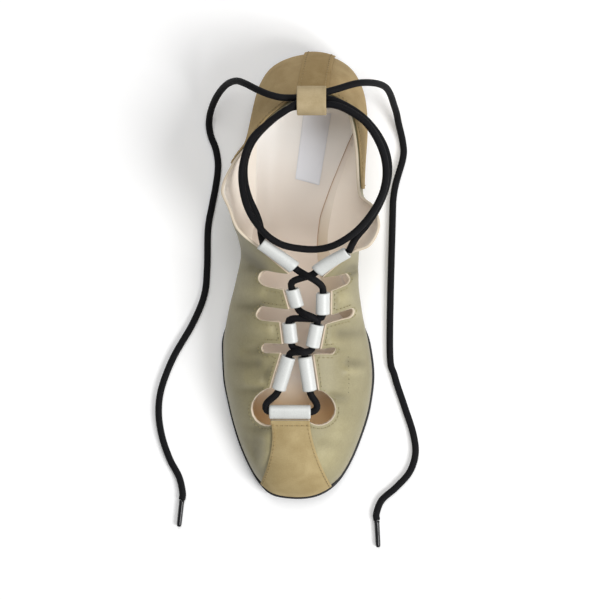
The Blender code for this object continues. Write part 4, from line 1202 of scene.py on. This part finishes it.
def tunnel_axis(start, end, run_on=(0.0, 0.0)):
    """Centre line of the tunnel on the edge from one ring position to another, with its frame.

    run_on is how far its tape runs on past the edge's two ends.
    """
    edge = np.linalg.norm(wall(end, 1.0) - wall(start, 1.0))
    trim = (end - start) * TUNNEL_INSET / edge
    at = np.linspace(start + trim, end - trim, TUNNEL_STATIONS)
    along = unit(wall(at + trim, 1.0) - wall(at - trim, 1.0))
    beyond = wall(at, 1.0) - wall(at, UNDER_EDGE)
    normal = wall_normal(at, np.ones(len(at)))
    across = unit(np.cross(normal, along))
    across *= np.sign((across * beyond).sum(axis=1))[:, None]
    normal = unit(normal - along * (normal * along).sum(axis=1)[:, None])
    centre = wall(at, 1.0) + across * (TUNNEL_HALF_WIDTH + TUNNEL_GAP) - normal * WALL / 2
    share = np.linspace(0.0, 1.0, len(at))[:, None]
    before = unit(centre[:1] - centre[1:2]) * run_on[0] * (1 - share)
    after = unit(centre[-1:] - centre[-2:-1]) * run_on[1] * share
    return centre + before + after, across, normal


def tunnel_mesh(axis):
    """A tube with a wall: outer rings from mouth to mouth, a rounded lip, and inner rings back."""
    centre, across, normal = axis
    ends = unit(centre[[0, -1]] - centre[[1, -2]]) * MOUTH_ROUND
    last = len(centre) - 1
    rings = [(k, 0.0, 0.0) for k in range(last + 1)]
    rings += [(last, TUNNEL_WALL / 2, 1.0)]
    rings += [(k, TUNNEL_WALL, 0.0) for k in range(last, -1, -1)]
    rings += [(0, TUNNEL_WALL / 2, 1.0)]
    turn = np.linspace(0, 2 * math.pi, TUNNEL_SIDES, endpoint=False)[:, None]
    points = []
    for k, wall_in, lip in rings:
        middle = centre[k] + ends[0 if k == 0 else 1] * lip
        wide = across[k] * (TUNNEL_HALF_WIDTH - wall_in) * np.cos(turn)
        high = normal[k] * (TUNNEL_HALF_HEIGHT - wall_in) * np.sin(turn)
        points.append(middle + wide + high)
    points = np.concatenate(points)
    number = np.arange(len(points)).reshape(len(rings), TUNNEL_SIDES)
    there, beside = np.roll(number, -1, axis=0), np.roll(number, -1, axis=1)
    corner = np.roll(there, -1, axis=1)
    return points, np.stack([number, beside, corner, there], axis=-1).reshape(-1, 4)


def outward_faces(points, faces):
    """The faces, turned over if they enclose their volume from inside."""
    corners = points[faces]
    first = np.einsum("ij,ij->i", corners[:, 0], np.cross(corners[:, 1], corners[:, 2])).sum()
    second = np.einsum("ij,ij->i", corners[:, 0], np.cross(corners[:, 2], corners[:, 3])).sum()
    return faces if first + second > 0 else faces[:, ::-1]


def white_tape():
    """White finished leather tape: smooth, slightly glossy, with a faint close grain."""
    made, tree, shader = new_finish("white_tape", 0.4, 0.5)
    feed(shader, {"Coat Weight": 0.12, "Coat Roughness": 0.3})
    place = add_node(tree, "ShaderNodeTexCoord").outputs["Object"]
    scaled = {"Vector": place, "Scale": 1 / (TAPE_GRAIN * MM)}
    cells = add_node(tree, "ShaderNodeTexVoronoi", scaled)
    tint_and_raise(shader, cells.outputs["Distance"], "#d9dbd8", "#cccecb", 0.15, 0.06)
    return made


WHITE = white_tape()
tunnel_ends = {"toe": (TOE_START - RING_SIZE, TOE_END)}
for side in SIDES:
    for number in (1, 2, 3, 4):
        tabs = (post_at(side, f"tab_{number}_{end}") for end in ("low", "high"))
        tunnel_ends[f"{side}_{number}"] = tuple(tabs)
tunnel_axes = {place: tunnel_axis(*ends) for place, ends in tunnel_ends.items()}
for place, ends in tunnel_ends.items():
    axis = tunnel_axis(*ends, TAPE_RUN_ON.get(place, (0.0, 0.0)))
    points, faces = tunnel_mesh(axis)
    mesh_piece(f"tunnel_{place}", points, outward_faces(points, faces), [WHITE],
               [f"lace_tunnel_{place}"])


# Stitching
# Rows of thread hold the lining to the tabs, the suede panels to the upper and the strip to the
# heel. Each stitch is a short bead of thread that sinks at both ends into a needle hole.

STITCH_PITCH = 2.4
THREAD_LENGTH = 1.7
THREAD_THICK = 0.5
HOLE_SIZE = 0.62
HOLE_SHIFT = 0.5
THREAD_RIDE = 0.12
THREAD_PLY = 0.4
ROW_STEP = 0.5

# How far the rows lie inside the edges that they follow, and how many points each is drawn through
STITCH_INSET = 2.1
TAB_TOP_INSET = 1.6
TOE_ROW_INSET = 1.0
HEEL_ROW_INSET = 1.6
STRIP_ROW_INSET = 1.7
TAB_ROW_POINTS = 5
SLIT_ROW_POINTS = 9
PANEL_END_POINTS = 24
PANEL_TOP_POINTS = 60
STRIP_ROW_POINTS = 16
PANEL_ROW_FOOT = 0.06
PROBE = 0.2
PLAN_STEPS = 160


def stitch_tree():
    """Beads at even steps along every line of the mesh, turned to follow it."""
    tree = bpy.data.node_groups.new("stitch_row", "GeometryNodeTree")
    tree.interface.new_socket("Rows", in_out="INPUT", socket_type="NodeSocketGeometry")
    for label in ("Pitch", "Length", "Thickness"):
        tree.interface.new_socket(label, in_out="INPUT", socket_type="NodeSocketFloat")
    tree.interface.new_socket("Thread", in_out="INPUT", socket_type="NodeSocketMaterial")
    tree.interface.new_socket("Stitches", in_out="OUTPUT", socket_type="NodeSocketGeometry")
    given = add_node(tree, "NodeGroupInput").outputs
    line = add_node(tree, "GeometryNodeMeshToCurve", {"Mesh": given["Rows"]})
    even = {"Curve": line.outputs["Curve"], "Length": given["Pitch"]}
    spaced = add_node(tree, "GeometryNodeResampleCurve", even, mode="LENGTH")
    way = add_node(tree, "GeometryNodeInputTangent").outputs[0]
    turned = add_node(tree, "FunctionNodeAlignRotationToVector", {"Vector": way}, axis="X")
    bead = add_node(tree, "GeometryNodeMeshUVSphere", {"Segments": 8, "Rings": 5, "Radius": 0.5})
    size = {"X": given["Length"], "Y": given["Thickness"], "Z": given["Thickness"]}
    scale = add_node(tree, "ShaderNodeCombineXYZ", size)
    places = {
        "Points": spaced.outputs["Curve"],
        "Instance": bead.outputs["Mesh"],
        "Rotation": turned.outputs["Rotation"],
        "Scale": scale.outputs["Vector"],
    }
    sewn = add_node(tree, "GeometryNodeInstanceOnPoints", places)
    real = add_node(tree, "GeometryNodeRealizeInstances", {"Geometry": sewn.outputs["Instances"]})
    soft = add_node(tree, "GeometryNodeSetShadeSmooth", {"Geometry": real.outputs["Geometry"]})
    dressed = {"Geometry": soft.outputs["Geometry"], "Material": given["Thread"]}
    done = add_node(tree, "GeometryNodeSetMaterial", dressed)
    add_node(tree, "NodeGroupOutput", {"Stitches": done.outputs["Geometry"]})
    return tree


STITCH_TREE = stitch_tree()


def sew(name, rows, thread, length, thickness, shift=0.0):
    """One piece with a bead for every stitch of these rows. shift moves them along by a share."""
    points, edges = [], []
    for row in rows:
        line = smooth_line(row, ROW_STEP)[round(shift * STITCH_PITCH / ROW_STEP) :]
        first = len(points)
        points.extend(line * MM)
        edges.extend((first + k, first + k + 1) for k in range(len(line) - 1))
    mesh = bpy.data.meshes.new(name)
    mesh.from_pydata([tuple(p) for p in points], edges, [])
    piece = bpy.data.objects.new(name, mesh)
    bpy.context.scene.collection.objects.link(piece)
    sewing = piece.modifiers.new("sewing", "NODES")
    sewing.node_group = STITCH_TREE
    sizes = {
        "Pitch": STITCH_PITCH * MM,
        "Length": length * MM,
        "Thickness": thickness * MM,
        "Thread": thread,
    }
    for socket in STITCH_TREE.interface.items_tree:
        if socket.name in sizes:
            sewing[socket.identifier] = sizes[socket.name]
    graph = bpy.context.evaluated_depsgraph_get()
    made = bpy.data.meshes.new_from_object(piece.evaluated_get(graph))
    piece.modifiers.remove(sewing)
    piece.data = made
    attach(piece, "root")


def thread(name, dark, light):
    """Bonded polyester thread: two plies twisted together, with a slight lustre."""
    made, tree, shader = new_finish(name, 0.55, 0.4)
    place = add_node(tree, "ShaderNodeTexCoord").outputs["Object"]
    ply = add_node(tree, "ShaderNodeTexNoise", {"Vector": place, "Scale": 1 / (THREAD_PLY * MM)})
    tint_and_raise(shader, ply.outputs["Fac"], dark, light)
    return made


def inset_positions(low, high, share):
    """Ring positions a stitch's inset inside both ends of a tab, at a share of the way up."""
    width = np.linalg.norm(wall(high, share) - wall(low, share))
    part = STITCH_INSET / width
    return low + (high - low) * part, high - (high - low) * part


def tab_row(side, number):
    """One row up a tab's lower slit, along its tunnel and down its upper slit."""
    low, high = post_at(side, f"tab_{number}_low"), post_at(side, f"tab_{number}_high")
    length = float(wall_length((low + high) / 2)[0])
    top = 1 - (BARE_EDGE + TAB_TOP_INSET) / length
    low_root = 1 - side_depth(round(low)) / length
    high_root = 1 - side_depth(round(high)) / length
    climb = np.linspace(low_root, top, TAB_ROW_POINTS)
    fall = np.linspace(top, high_root, TAB_ROW_POINTS)
    start, end = inset_positions(low, high, top)
    across = start + (end - start) * np.linspace(0.15, 0.85, TAB_ROW_POINTS)
    row = [(inset_positions(low, high, share)[0], share) for share in climb]
    row += [(at, top) for at in across]
    return row + [(inset_positions(low, high, share)[1], share) for share in fall]


def slit_row(side, post, start=0.0, end=1.0):
    """One row round the end of a slit, from the tab below it to the tab above."""
    row = []
    for part in np.linspace(start, end, SLIT_ROW_POINTS):
        at = post_at(side, post, part)
        depth = root_depth(min(max(at, 0.0), RING_SIZE - 1e-6)) + STITCH_INSET
        row.append((at, 1 - depth / float(wall_length(at)[0])))
    return row


def on_skin(row, lift=0.0):
    """Points of a row of ring positions and shares, where its thread rides on the skin."""
    at, share = np.array(row).T
    return skin(at, share, lift + THREAD_RIDE)


olive_rows = []
for side in SIDES:
    for number in (1, 2, 3):
        olive_rows.append(on_skin(tab_row(side, number)))
    for post in ("tab_1_high", "tab_2_high", "tab_3_high"):
        olive_rows.append(on_skin(slit_row(side, post)))
    olive_rows.append(on_skin(slit_row(side, "toe_corner", 0.1, 1.0)))

# A row of pinholes up the vamp's inner side, in plan
PINHOLES = [(26.4, -64.0), (26.8, -57.0), (26.9, -50.0), (26.6, -43.6)]


def under_plan(places):
    """Ring positions and shares of the inner side's wall that lie under these plan places."""
    ends = post_at("medial", "tab_2_high"), post_at("medial", "toe_corner")
    at, share = np.linspace(*ends, PLAN_STEPS), np.linspace(0.3, 1.0, PLAN_STEPS)
    points = wall(at[:, None], share)[..., :2]
    row = []
    for place in places:
        near = np.linalg.norm(points - np.array(place), axis=-1).argmin()
        k, s = np.unravel_index(near, points.shape[:2])
        row.append((at[k], share[s]))
    return row


pinhole_row = on_skin(under_plan(PINHOLES))

PANEL_TOP = GAP + PANEL_THICK


def panel_rows(start, end, inset):
    """Rows inside a panel's two ends and along its top edge."""
    if end < start:
        start -= RING_SIZE
    rows = []
    head = 1 - (PANEL_MARGIN + inset) / float(wall_length((start + end) / 2)[0])
    for one, other in ((start, end), (end, start)):
        inward, place = np.sign(other - one), []
        for share in np.linspace(PANEL_ROW_FOOT, head, PANEL_END_POINTS):
            width = np.linalg.norm(wall(one + inward * PROBE, share) - wall(one, share)) / PROBE
            place.append((one + inward * inset / width, share))
        rows.append(on_skin(place, PANEL_TOP))
    at = np.linspace(start, end, PANEL_TOP_POINTS)[2:-2]
    top = 1 - (PANEL_MARGIN + inset) / wall_length(at)
    rows.append(on_skin(np.column_stack([at, top]), PANEL_TOP))
    return rows


def strip_rows():
    """Two rows inside the edges of the heel strip."""
    rows = []
    share = np.linspace(STRIP_START + 0.03, STRIP_END - 0.06, STRIP_ROW_POINTS)
    for offset in (STRIP_ROW_INSET - STRIP_HALF_WIDTH, STRIP_HALF_WIDTH - STRIP_ROW_INSET):
        at = [back_position(BACK_POST.top_x + offset, s) for s in share]
        rows.append(on_skin(np.column_stack([at, share]), STRIP_LIFT + STRIP_THICK))
    return rows


tan_rows = panel_rows(TOE_START, TOE_END, TOE_ROW_INSET) + strip_rows()
tan_rows += panel_rows(COUNTER_START, COUNTER_END, HEEL_ROW_INSET)
holes = olive_rows + [pinhole_row] + tan_rows
OLIVE_THREAD = thread("olive_thread", "#928962", "#a69c74")
TAN_THREAD = thread("tan_thread", "#9c8455", "#b39a6a")
# The needle holes are dark beads between the stitches: painted shade for the hollow of each hole
NEEDLE_HOLE_SHADE = thread("needle_hole", "#5f563c", "#6d6448")
sew("stitches_tabs", olive_rows, OLIVE_THREAD, THREAD_LENGTH, THREAD_THICK)
sew("stitches_panels", tan_rows, TAN_THREAD, THREAD_LENGTH, THREAD_THICK)
sew("needle_holes", holes, NEEDLE_HOLE_SHADE, HOLE_SIZE, THREAD_THICK, HOLE_SHIFT)


# Lace through the tunnels
# One round braided cord, drawn through the toe tunnel and up through the tabs, crossing itself
# three times over the open throat. Each strand lies over or under the other where they meet.

LACE_DIAMETER = 3.8
LACE_SIDES = 16
LACE_STEP = 1.3
BRAID_STRANDS = 8
MOUTH_GAP = 1.0
TURN_REACHES = (3.0, 3.5)
STRETCH_POINTS = 13
SAME_PLACE = 0.3
TOE_MOUTH = {"lateral": -1, "medial": 0}

# The crosses: each has a gap to the tunnels' mouths, how far it runs on straight out of them, and
# how much each of its strands arches
Cross = namedtuple("Cross", "mouth_gap reach lateral_lift medial_lift")
CROSSES = {
    1: Cross(1.0, 4.2, 4.0, 0.4),
    2: Cross(1.0, 4.2, 0.4, 4.0),
    3: Cross(2.0, 4.6, 0.2, 3.8),
}

# The lace's turns beside the toe tunnel: how far each swings out of the tunnel's mouth, and how far
# it has come round to the tabs by then
Turn = namedtuple("Turn", "out round")
TURNS = {"lateral": Turn(2.6, 3.0), "medial": Turn(4.0, 3.0)}
ARC_REACH = 0.55


def braided_cord():
    """Black braided polyester cord: strands that cross on the bias, with a faint cool lustre."""
    made, tree, shader = new_finish("braided_cord", 0.7, 0.2)
    flat = add_node(tree, "ShaderNodeUVMap", uv_map="UVMap").outputs["UV"]
    parts = add_node(tree, "ShaderNodeSeparateXYZ", {"Vector": flat}).outputs
    ribs = []
    for operation in ("ADD", "SUBTRACT"):
        bias = add_node(tree, "ShaderNodeMath", {0: parts["X"], 1: parts["Y"]}, operation=operation)
        strands = {0: bias.outputs[0], 1: 2 * math.pi * BRAID_STRANDS}
        turn = add_node(tree, "ShaderNodeMath", strands, operation="MULTIPLY")
        wave = add_node(tree, "ShaderNodeMath", {0: turn.outputs[0]}, operation="SINE")
        ribs.append(wave.outputs[0])
    braid = add_node(tree, "ShaderNodeMath", dict(enumerate(ribs)), operation="MAXIMUM")
    shade = add_node(tree, "ShaderNodeMapRange", {"Value": braid.outputs[0], "From Min": -1.0})
    tint_and_raise(shader, shade.outputs["Result"], "#040406", "#0b0b0f", 0.6, 0.25)
    return made


CORD = braided_cord()


def tube(line, diameter, sides):
    """A closed tube along a line: points, faces and a UV that runs round it and along it."""
    radius = diameter / 2
    ahead = unit(np.gradient(line, axis=0))
    side = unit(np.cross(ahead[0], [0.0, 0.0, 1.0]))
    turn = np.linspace(0, 2 * math.pi, sides + 1)
    run = np.concatenate([[0], np.cumsum(np.linalg.norm(np.diff(line, axis=0), axis=1))])
    points, flat = [], []
    for place, way, along in zip(line, ahead, run):
        side = unit(side - way * (side @ way))
        up = np.cross(side, way)
        points.append(place + radius * (np.outer(np.cos(turn), side) + np.outer(np.sin(turn), up)))
        around = np.full(sides + 1, along / (math.pi * diameter))
        flat.append(np.column_stack([turn / (2 * math.pi), around]))
    points, flat = np.concatenate(points), np.concatenate(flat)
    return points, grid_faces(len(line), sides + 1), flat


def cord_piece(name, line, nodes):
    """A tube of lace along a line, its seam closed and its ends capped."""
    points, quads, flat = tube(line, LACE_DIAMETER, LACE_SIDES)
    outward = outward_faces(points, quads)
    faces = [tuple(quad) for quad in outward]
    first, last = len(points), len(points) + 1
    start = first - LACE_SIDES - 1
    points = np.vstack([points, line[0], line[-1]])
    flat = np.vstack([flat, flat[0], flat[-1]])
    for k in range(LACE_SIDES):
        caps = [(k + 1, k, first), (start + k, start + k + 1, last)]
        faces += caps if outward is quads else [cap[::-1] for cap in caps]
    return mesh_piece(name, points, faces, [CORD], nodes, uv=flat)


def mouth(axis, end, gap):
    """A point beyond a tunnel's first (0) or last (-1) mouth, and the way out of it."""
    centre = axis[0]
    out = unit(centre[end] - centre[1 if end == 0 else -2])
    return centre[end] + out * gap, out


def stretch(start, finish, reach, lift):
    """A stretch of lace between two mouths, arched by lift at its middle."""
    (one, one_out), (two, two_out) = start, finish
    share = np.linspace(0, 1, STRETCH_POINTS)
    line = bezier((one, one + one_out * reach, two + two_out * reach, two), share[:, None])
    line[:, 2] += lift * np.sin(share * math.pi) ** 2
    return line


def toe_turn(row, start, finish):
    """The lace from the toe tunnel's mouth round to a tab's tunnel: a quarter turn, then a run."""
    (one, one_out), (two, two_out) = start, finish
    across = unit((two - one) - one_out * ((two - one) @ one_out))
    middle = one + one_out * row.out + across * row.round
    swing = one_out * row.out * ARC_REACH, across * row.round * ARC_REACH
    quarter = (one, one + swing[0], middle - swing[1], middle)
    run = (middle, middle + across * TURN_REACHES[0], two + two_out * TURN_REACHES[1], two)
    share = np.linspace(0, 1, STRETCH_POINTS)[:, None]
    lines = [bezier(points, share) for points in (quarter, run)]
    return np.concatenate([lines[0], lines[1][1:]])


def lace_climb(side):
    """Half of the lacing: from the toe tunnel's mouth on one side, up to a top tunnel."""
    tab = tunnel_axes[f"{side}_1"]
    leave = mouth(tunnel_axes["toe"], TOE_MOUTH[side], MOUTH_GAP)
    line = [toe_turn(TURNS[side], leave, mouth(tab, 0, MOUTH_GAP)), tab[0]]
    for number, row in CROSSES.items():
        lift = row.lateral_lift if side == "lateral" else row.medial_lift
        leave = mouth(tab, -1, row.mouth_gap)
        side = "medial" if side == "lateral" else "lateral"
        tab = tunnel_axes[f"{side}_{number + 1}"]
        line += [stretch(leave, mouth(tab, 0, row.mouth_gap), row.reach, lift), tab[0]]
    return np.concatenate(line)


def lacing_line():
    """The whole route from the outer side's top tunnel to the toe and up to the inner side's."""
    halves = [lace_climb("medial")[::-1], tunnel_axes["toe"][0], lace_climb("lateral")]
    line = np.concatenate(halves)
    apart = np.linalg.norm(np.diff(line, axis=0), axis=1)
    return smooth_line(line[np.concatenate([[True], apart > SAME_PLACE])], LACE_STEP)


lacing_nodes = [f"lace_crossing_{number}" for number in CROSSES]
lacing_nodes += [f"lace_turn_{side}" for side in SIDES]
cord_piece("lacing", lacing_line(), lacing_nodes)


# Lace halves
# Beyond the top tunnels the cord's two halves run back to the heel loop. The outer one then goes
# once round the ankle opening and through the loop again. Both fall to the floor and lie loose
# beside the shoe, each ending in a moulded plastic tip.

AGLET_DIAMETER = 3.0
AGLET_LENGTH = 15.0
AGLET_SIDES = 20
TIP_RIPPLE = 1.5

WRAP_ROUTE = [
    (-19.8, 23.2, 58.2),
    (-20.6, 29.0, 57.2),
    (-23.0, 35.6, 56.0),
    (-26.8, 44.0, 54.8),
    (-29.0, 53.6, 54.0),
    (-28.6, 63.8, 53.4),
    (-24.4, 74.2, 53.8),
    (-15.4, 84.0, 55.4),
    (-4.0, 91.8, 57.6),
    (7.5, 92.6, 58.0),
    (18.4, 93.4, 59.8),
    (28.0, 89.8, 60.8),
    (37.4, 82.8, 60.4),
    (44.4, 71.4, 58.8),
    (47.4, 59.0, 57.8),
    (45.8, 46.6, 59.4),
    (40.0, 35.2, 62.4),
    (31.6, 25.4, 64.8),
    (21.4, 18.6, 63.8),
    (11.8, 15.8, 62.2),
    (1.4, 16.0, 62.8),
    (-9.4, 18.6, 64.8),
    (-18.4, 25.2, 66.0),
    (-26.2, 36.4, 63.2),
    (-29.8, 49.0, 60.4),
    (-29.8, 61.0, 58.6),
    (-25.4, 74.2, 58.8),
    (-16.4, 83.2, 60.0),
    (-7.4, 89.6, 61.6),
    (2.0, 95.2, 62.2),
    (12.0, 99.0, 62.2),
    (20.6, 101.6, 61.6),
    (34.6, 105.4, 55.6),
    (46.8, 103.8, 37.2),
    (51.8, 93.4, 14.4),
    (54.0, 84.0, 5.4),
    (56.2, 74.0, 2.1),
    (56.2, 65.6, 2.1),
    (51.4, 47.4, 2.1),
    (50.3, 26.2, 2.1),
    (49.0, -40.0, 2.1),
    (51.7, -55.5, 2.1),
    (57.0, -71.8, 2.1),
    (61.9, -87.0, 2.1),
    (63.3, -98.6, 2.1),
    (60.0, -109.0, 2.1),
    (52.4, -117.6, 2.1),
    (44.6, -124.6, 2.1),
    (41.6, -132.0, 2.1),
]
WRAP_TIP = (42.6, -151.0, 2.1)
SIDE_ROUTE = [
    (31.2, 21.6, 59.2),
    (36.8, 28.4, 58.6),
    (42.8, 37.6, 57.0),
    (47.2, 48.0, 54.4),
    (49.0, 58.6, 53.0),
    (47.4, 68.8, 52.8),
    (42.8, 78.0, 53.4),
    (36.2, 85.8, 54.4),
    (28.4, 91.6, 55.2),
    (18.4, 96.2, 56.2),
    (7.5, 97.2, 57.8),
    (-2.6, 97.2, 57.8),
    (-9.0, 97.4, 58.8),
    (-15.6, 99.0, 58.8),
    (-22.4, 101.9, 56.0),
    (-28.8, 105.2, 50.4),
    (-34.4, 107.0, 42.6),
    (-40.4, 105.2, 32.0),
    (-46.2, 99.4, 20.0),
    (-50.2, 91.8, 9.6),
    (-51.6, 84.6, 3.6),
    (-50.6, 78.0, 2.1),
    (-48.0, 71.2, 2.1),
    (-46.7, 63.5, 2.1),
    (-47.0, 56.4, 2.1),
    (-48.3, 48.2, 2.1),
    (-50.0, 39.6, 2.1),
    (-52.3, 26.2, 2.1),
    (-52.8, 5.0, 2.1),
    (-54.4, -10.4, 2.1),
    (-61.0, -26.6, 2.1),
    (-71.6, -45.0, 2.1),
    (-78.3, -62.2, 2.1),
    (-80.0, -75.6, 2.1),
    (-78.2, -89.1, 2.1),
    (-73.8, -102.0, 2.1),
    (-68.6, -112.0, 2.1),
    (-66.6, -121.0, 2.1),
]
SIDE_TIP = (-69.0, -142.4, 2.1)


def moulded_tip():
    """Black acetate film, shrunk onto the cord's end: smooth, with a clear small highlight."""
    made, tree, shader = new_finish("moulded_tip", 0.28, 0.5)
    place = add_node(tree, "ShaderNodeTexCoord").outputs["Object"]
    ripple = add_node(tree, "ShaderNodeTexNoise", {"Vector": place, "Scale": 1 / (TIP_RIPPLE * MM)})
    tint_and_raise(shader, ripple.outputs["Fac"], "#0e0e10", "#1a1a1e", 0.2, 0.1)
    return made


TIP = moulded_tip()


def aglet_mesh(start, way):
    """A tip turned about its own line: a rolled collar, a slight taper and a rounded end."""
    radius = AGLET_DIAMETER / 2
    profile = [
        (0.0, 0.0), (0.0, 0.86), (0.25, 1.0), (1.2, 1.0), (1.5, 0.95), (7.5, 0.93),
        (13.4, 0.9), (14.4, 0.78), (14.85, 0.5), (AGLET_LENGTH, 0.0),
    ]
    side = unit(np.cross(way, [0.0, 0.0, 1.0]))
    up = np.cross(side, way)
    turn = np.linspace(0, 2 * math.pi, AGLET_SIDES, endpoint=False)
    rings = []
    for along, wide in profile:
        ring = np.outer(np.cos(turn), side) + np.outer(np.sin(turn), up)
        rings.append(start + way * along + ring * radius * max(wide, 1e-3))
    points = np.concatenate(rings)
    number = np.arange(len(points)).reshape(len(profile), AGLET_SIDES)
    beside = np.roll(number, -1, axis=1)
    faces = np.stack([number[:-1], beside[:-1], beside[1:], number[1:]], axis=-1).reshape(-1, 4)
    return points, outward_faces(points, faces)


for name, side, route, tip in (
    ("lace_wrap", "lateral", WRAP_ROUTE, WRAP_TIP),
    ("lace_side", "medial", SIDE_ROUTE, SIDE_TIP),
):
    leave, _ = mouth(tunnel_axes[f"{side}_4"], -1, MOUTH_GAP)
    end, tip = np.array(route[-1]), np.array(tip)
    way = unit(tip - end)
    line = smooth_line([leave] + route + [end + way * LACE_DIAMETER], LACE_STEP)
    half = cord_piece(name + "_cord", line, [name])
    points, faces = aglet_mesh(line[-1] + way * GAP, way)
    aglet = mesh_piece(name + "_tip", points, faces, [TIP], [name + "_aglet"])


# Floor, light and camera
# A plain white studio sweep that glows a little, so that shadows stay pale, a soft lamp from the
# shoe's inner side and toe, and a second one over the heel that lights the inside. The camera
# stands high above the middle of the photograph's own frame and is aimed at the shoe.

FLOOR_HALF = 3.0
CAMERA_PLACE = (68.0, 31.4, 1800.0)
CAMERA_AIM = (-1.1, -13.2, 0.0)
VIEW_WIDTH = 334.5
SENSOR = 36.0
SKY_STRENGTH = 0.2
PAPER_GLOW = 0.12
PAPER_TOOTH = 2.0
WHITE_LIGHT = (1.0, 1.0, 1.0, 1.0)

Lamp = namedtuple("Lamp", "name place size power")
LAMPS = [
    Lamp("softbox", (0.95, -0.55, 1.1), 0.7, 18.0),
    Lamp("overhead", (0.0, 0.7, 1.5), 1.0, 12.5),
]


def studio_floor():
    """Matt white paper with a faint tooth."""
    made, tree, shader = new_finish("white_paper", 0.9, 0.2)
    feed(shader, {"Emission Color": WHITE_LIGHT, "Emission Strength": PAPER_GLOW})
    place = add_node(tree, "ShaderNodeTexCoord").outputs["Object"]
    tooth = add_node(tree, "ShaderNodeTexNoise", {"Vector": place, "Scale": 1 / (PAPER_TOOTH * MM)})
    tint_and_raise(shader, tooth.outputs["Fac"], "#f9f9f9", "#fbfbfb")
    return made


sweep = bpy.data.meshes.new("floor")
h = FLOOR_HALF
sweep.from_pydata([(-h, -h, 0), (h, -h, 0), (h, h, 0), (-h, h, 0)], [], [(0, 1, 2, 3)])
sweep.materials.append(studio_floor())
floor = bpy.data.objects.new("floor", sweep)
bpy.context.scene.collection.objects.link(floor)

world = bpy.data.worlds.new("studio")
world.use_nodes = True
sky = world.node_tree.nodes["Background"]
feed(sky, {"Color": WHITE_LIGHT, "Strength": SKY_STRENGTH})
bpy.context.scene.world = world

for row in LAMPS:
    lamp_data = bpy.data.lights.new(row.name, "AREA")
    lamp_data.size = row.size
    lamp_data.energy = row.power
    lamp = bpy.data.objects.new(row.name, lamp_data)
    lamp.location = row.place
    lamp.rotation_euler = (-Vector(row.place)).to_track_quat("-Z", "Y").to_euler()
    bpy.context.scene.collection.objects.link(lamp)

eye, aim = Vector(CAMERA_PLACE) * MM, Vector(CAMERA_AIM) * MM
forward = (aim - eye).normalized()
right = forward.cross(Vector((0.0, 1.0, 0.0))).normalized()
above = right.cross(forward)
camera_data = bpy.data.cameras.new("camera")
camera_data.sensor_width = SENSOR
camera_data.lens = SENSOR * (aim - eye).length / (VIEW_WIDTH * MM)
camera = bpy.data.objects.new("camera", camera_data)
turned = Matrix((right, above, -forward)).transposed()
camera.matrix_world = Matrix.Translation(eye) @ turned.to_4x4()
bpy.context.scene.collection.objects.link(camera)
bpy.context.scene.camera = camera
bpy.context.scene.view_settings.view_transform = "Standard"

bpy.context.view_layer.update()
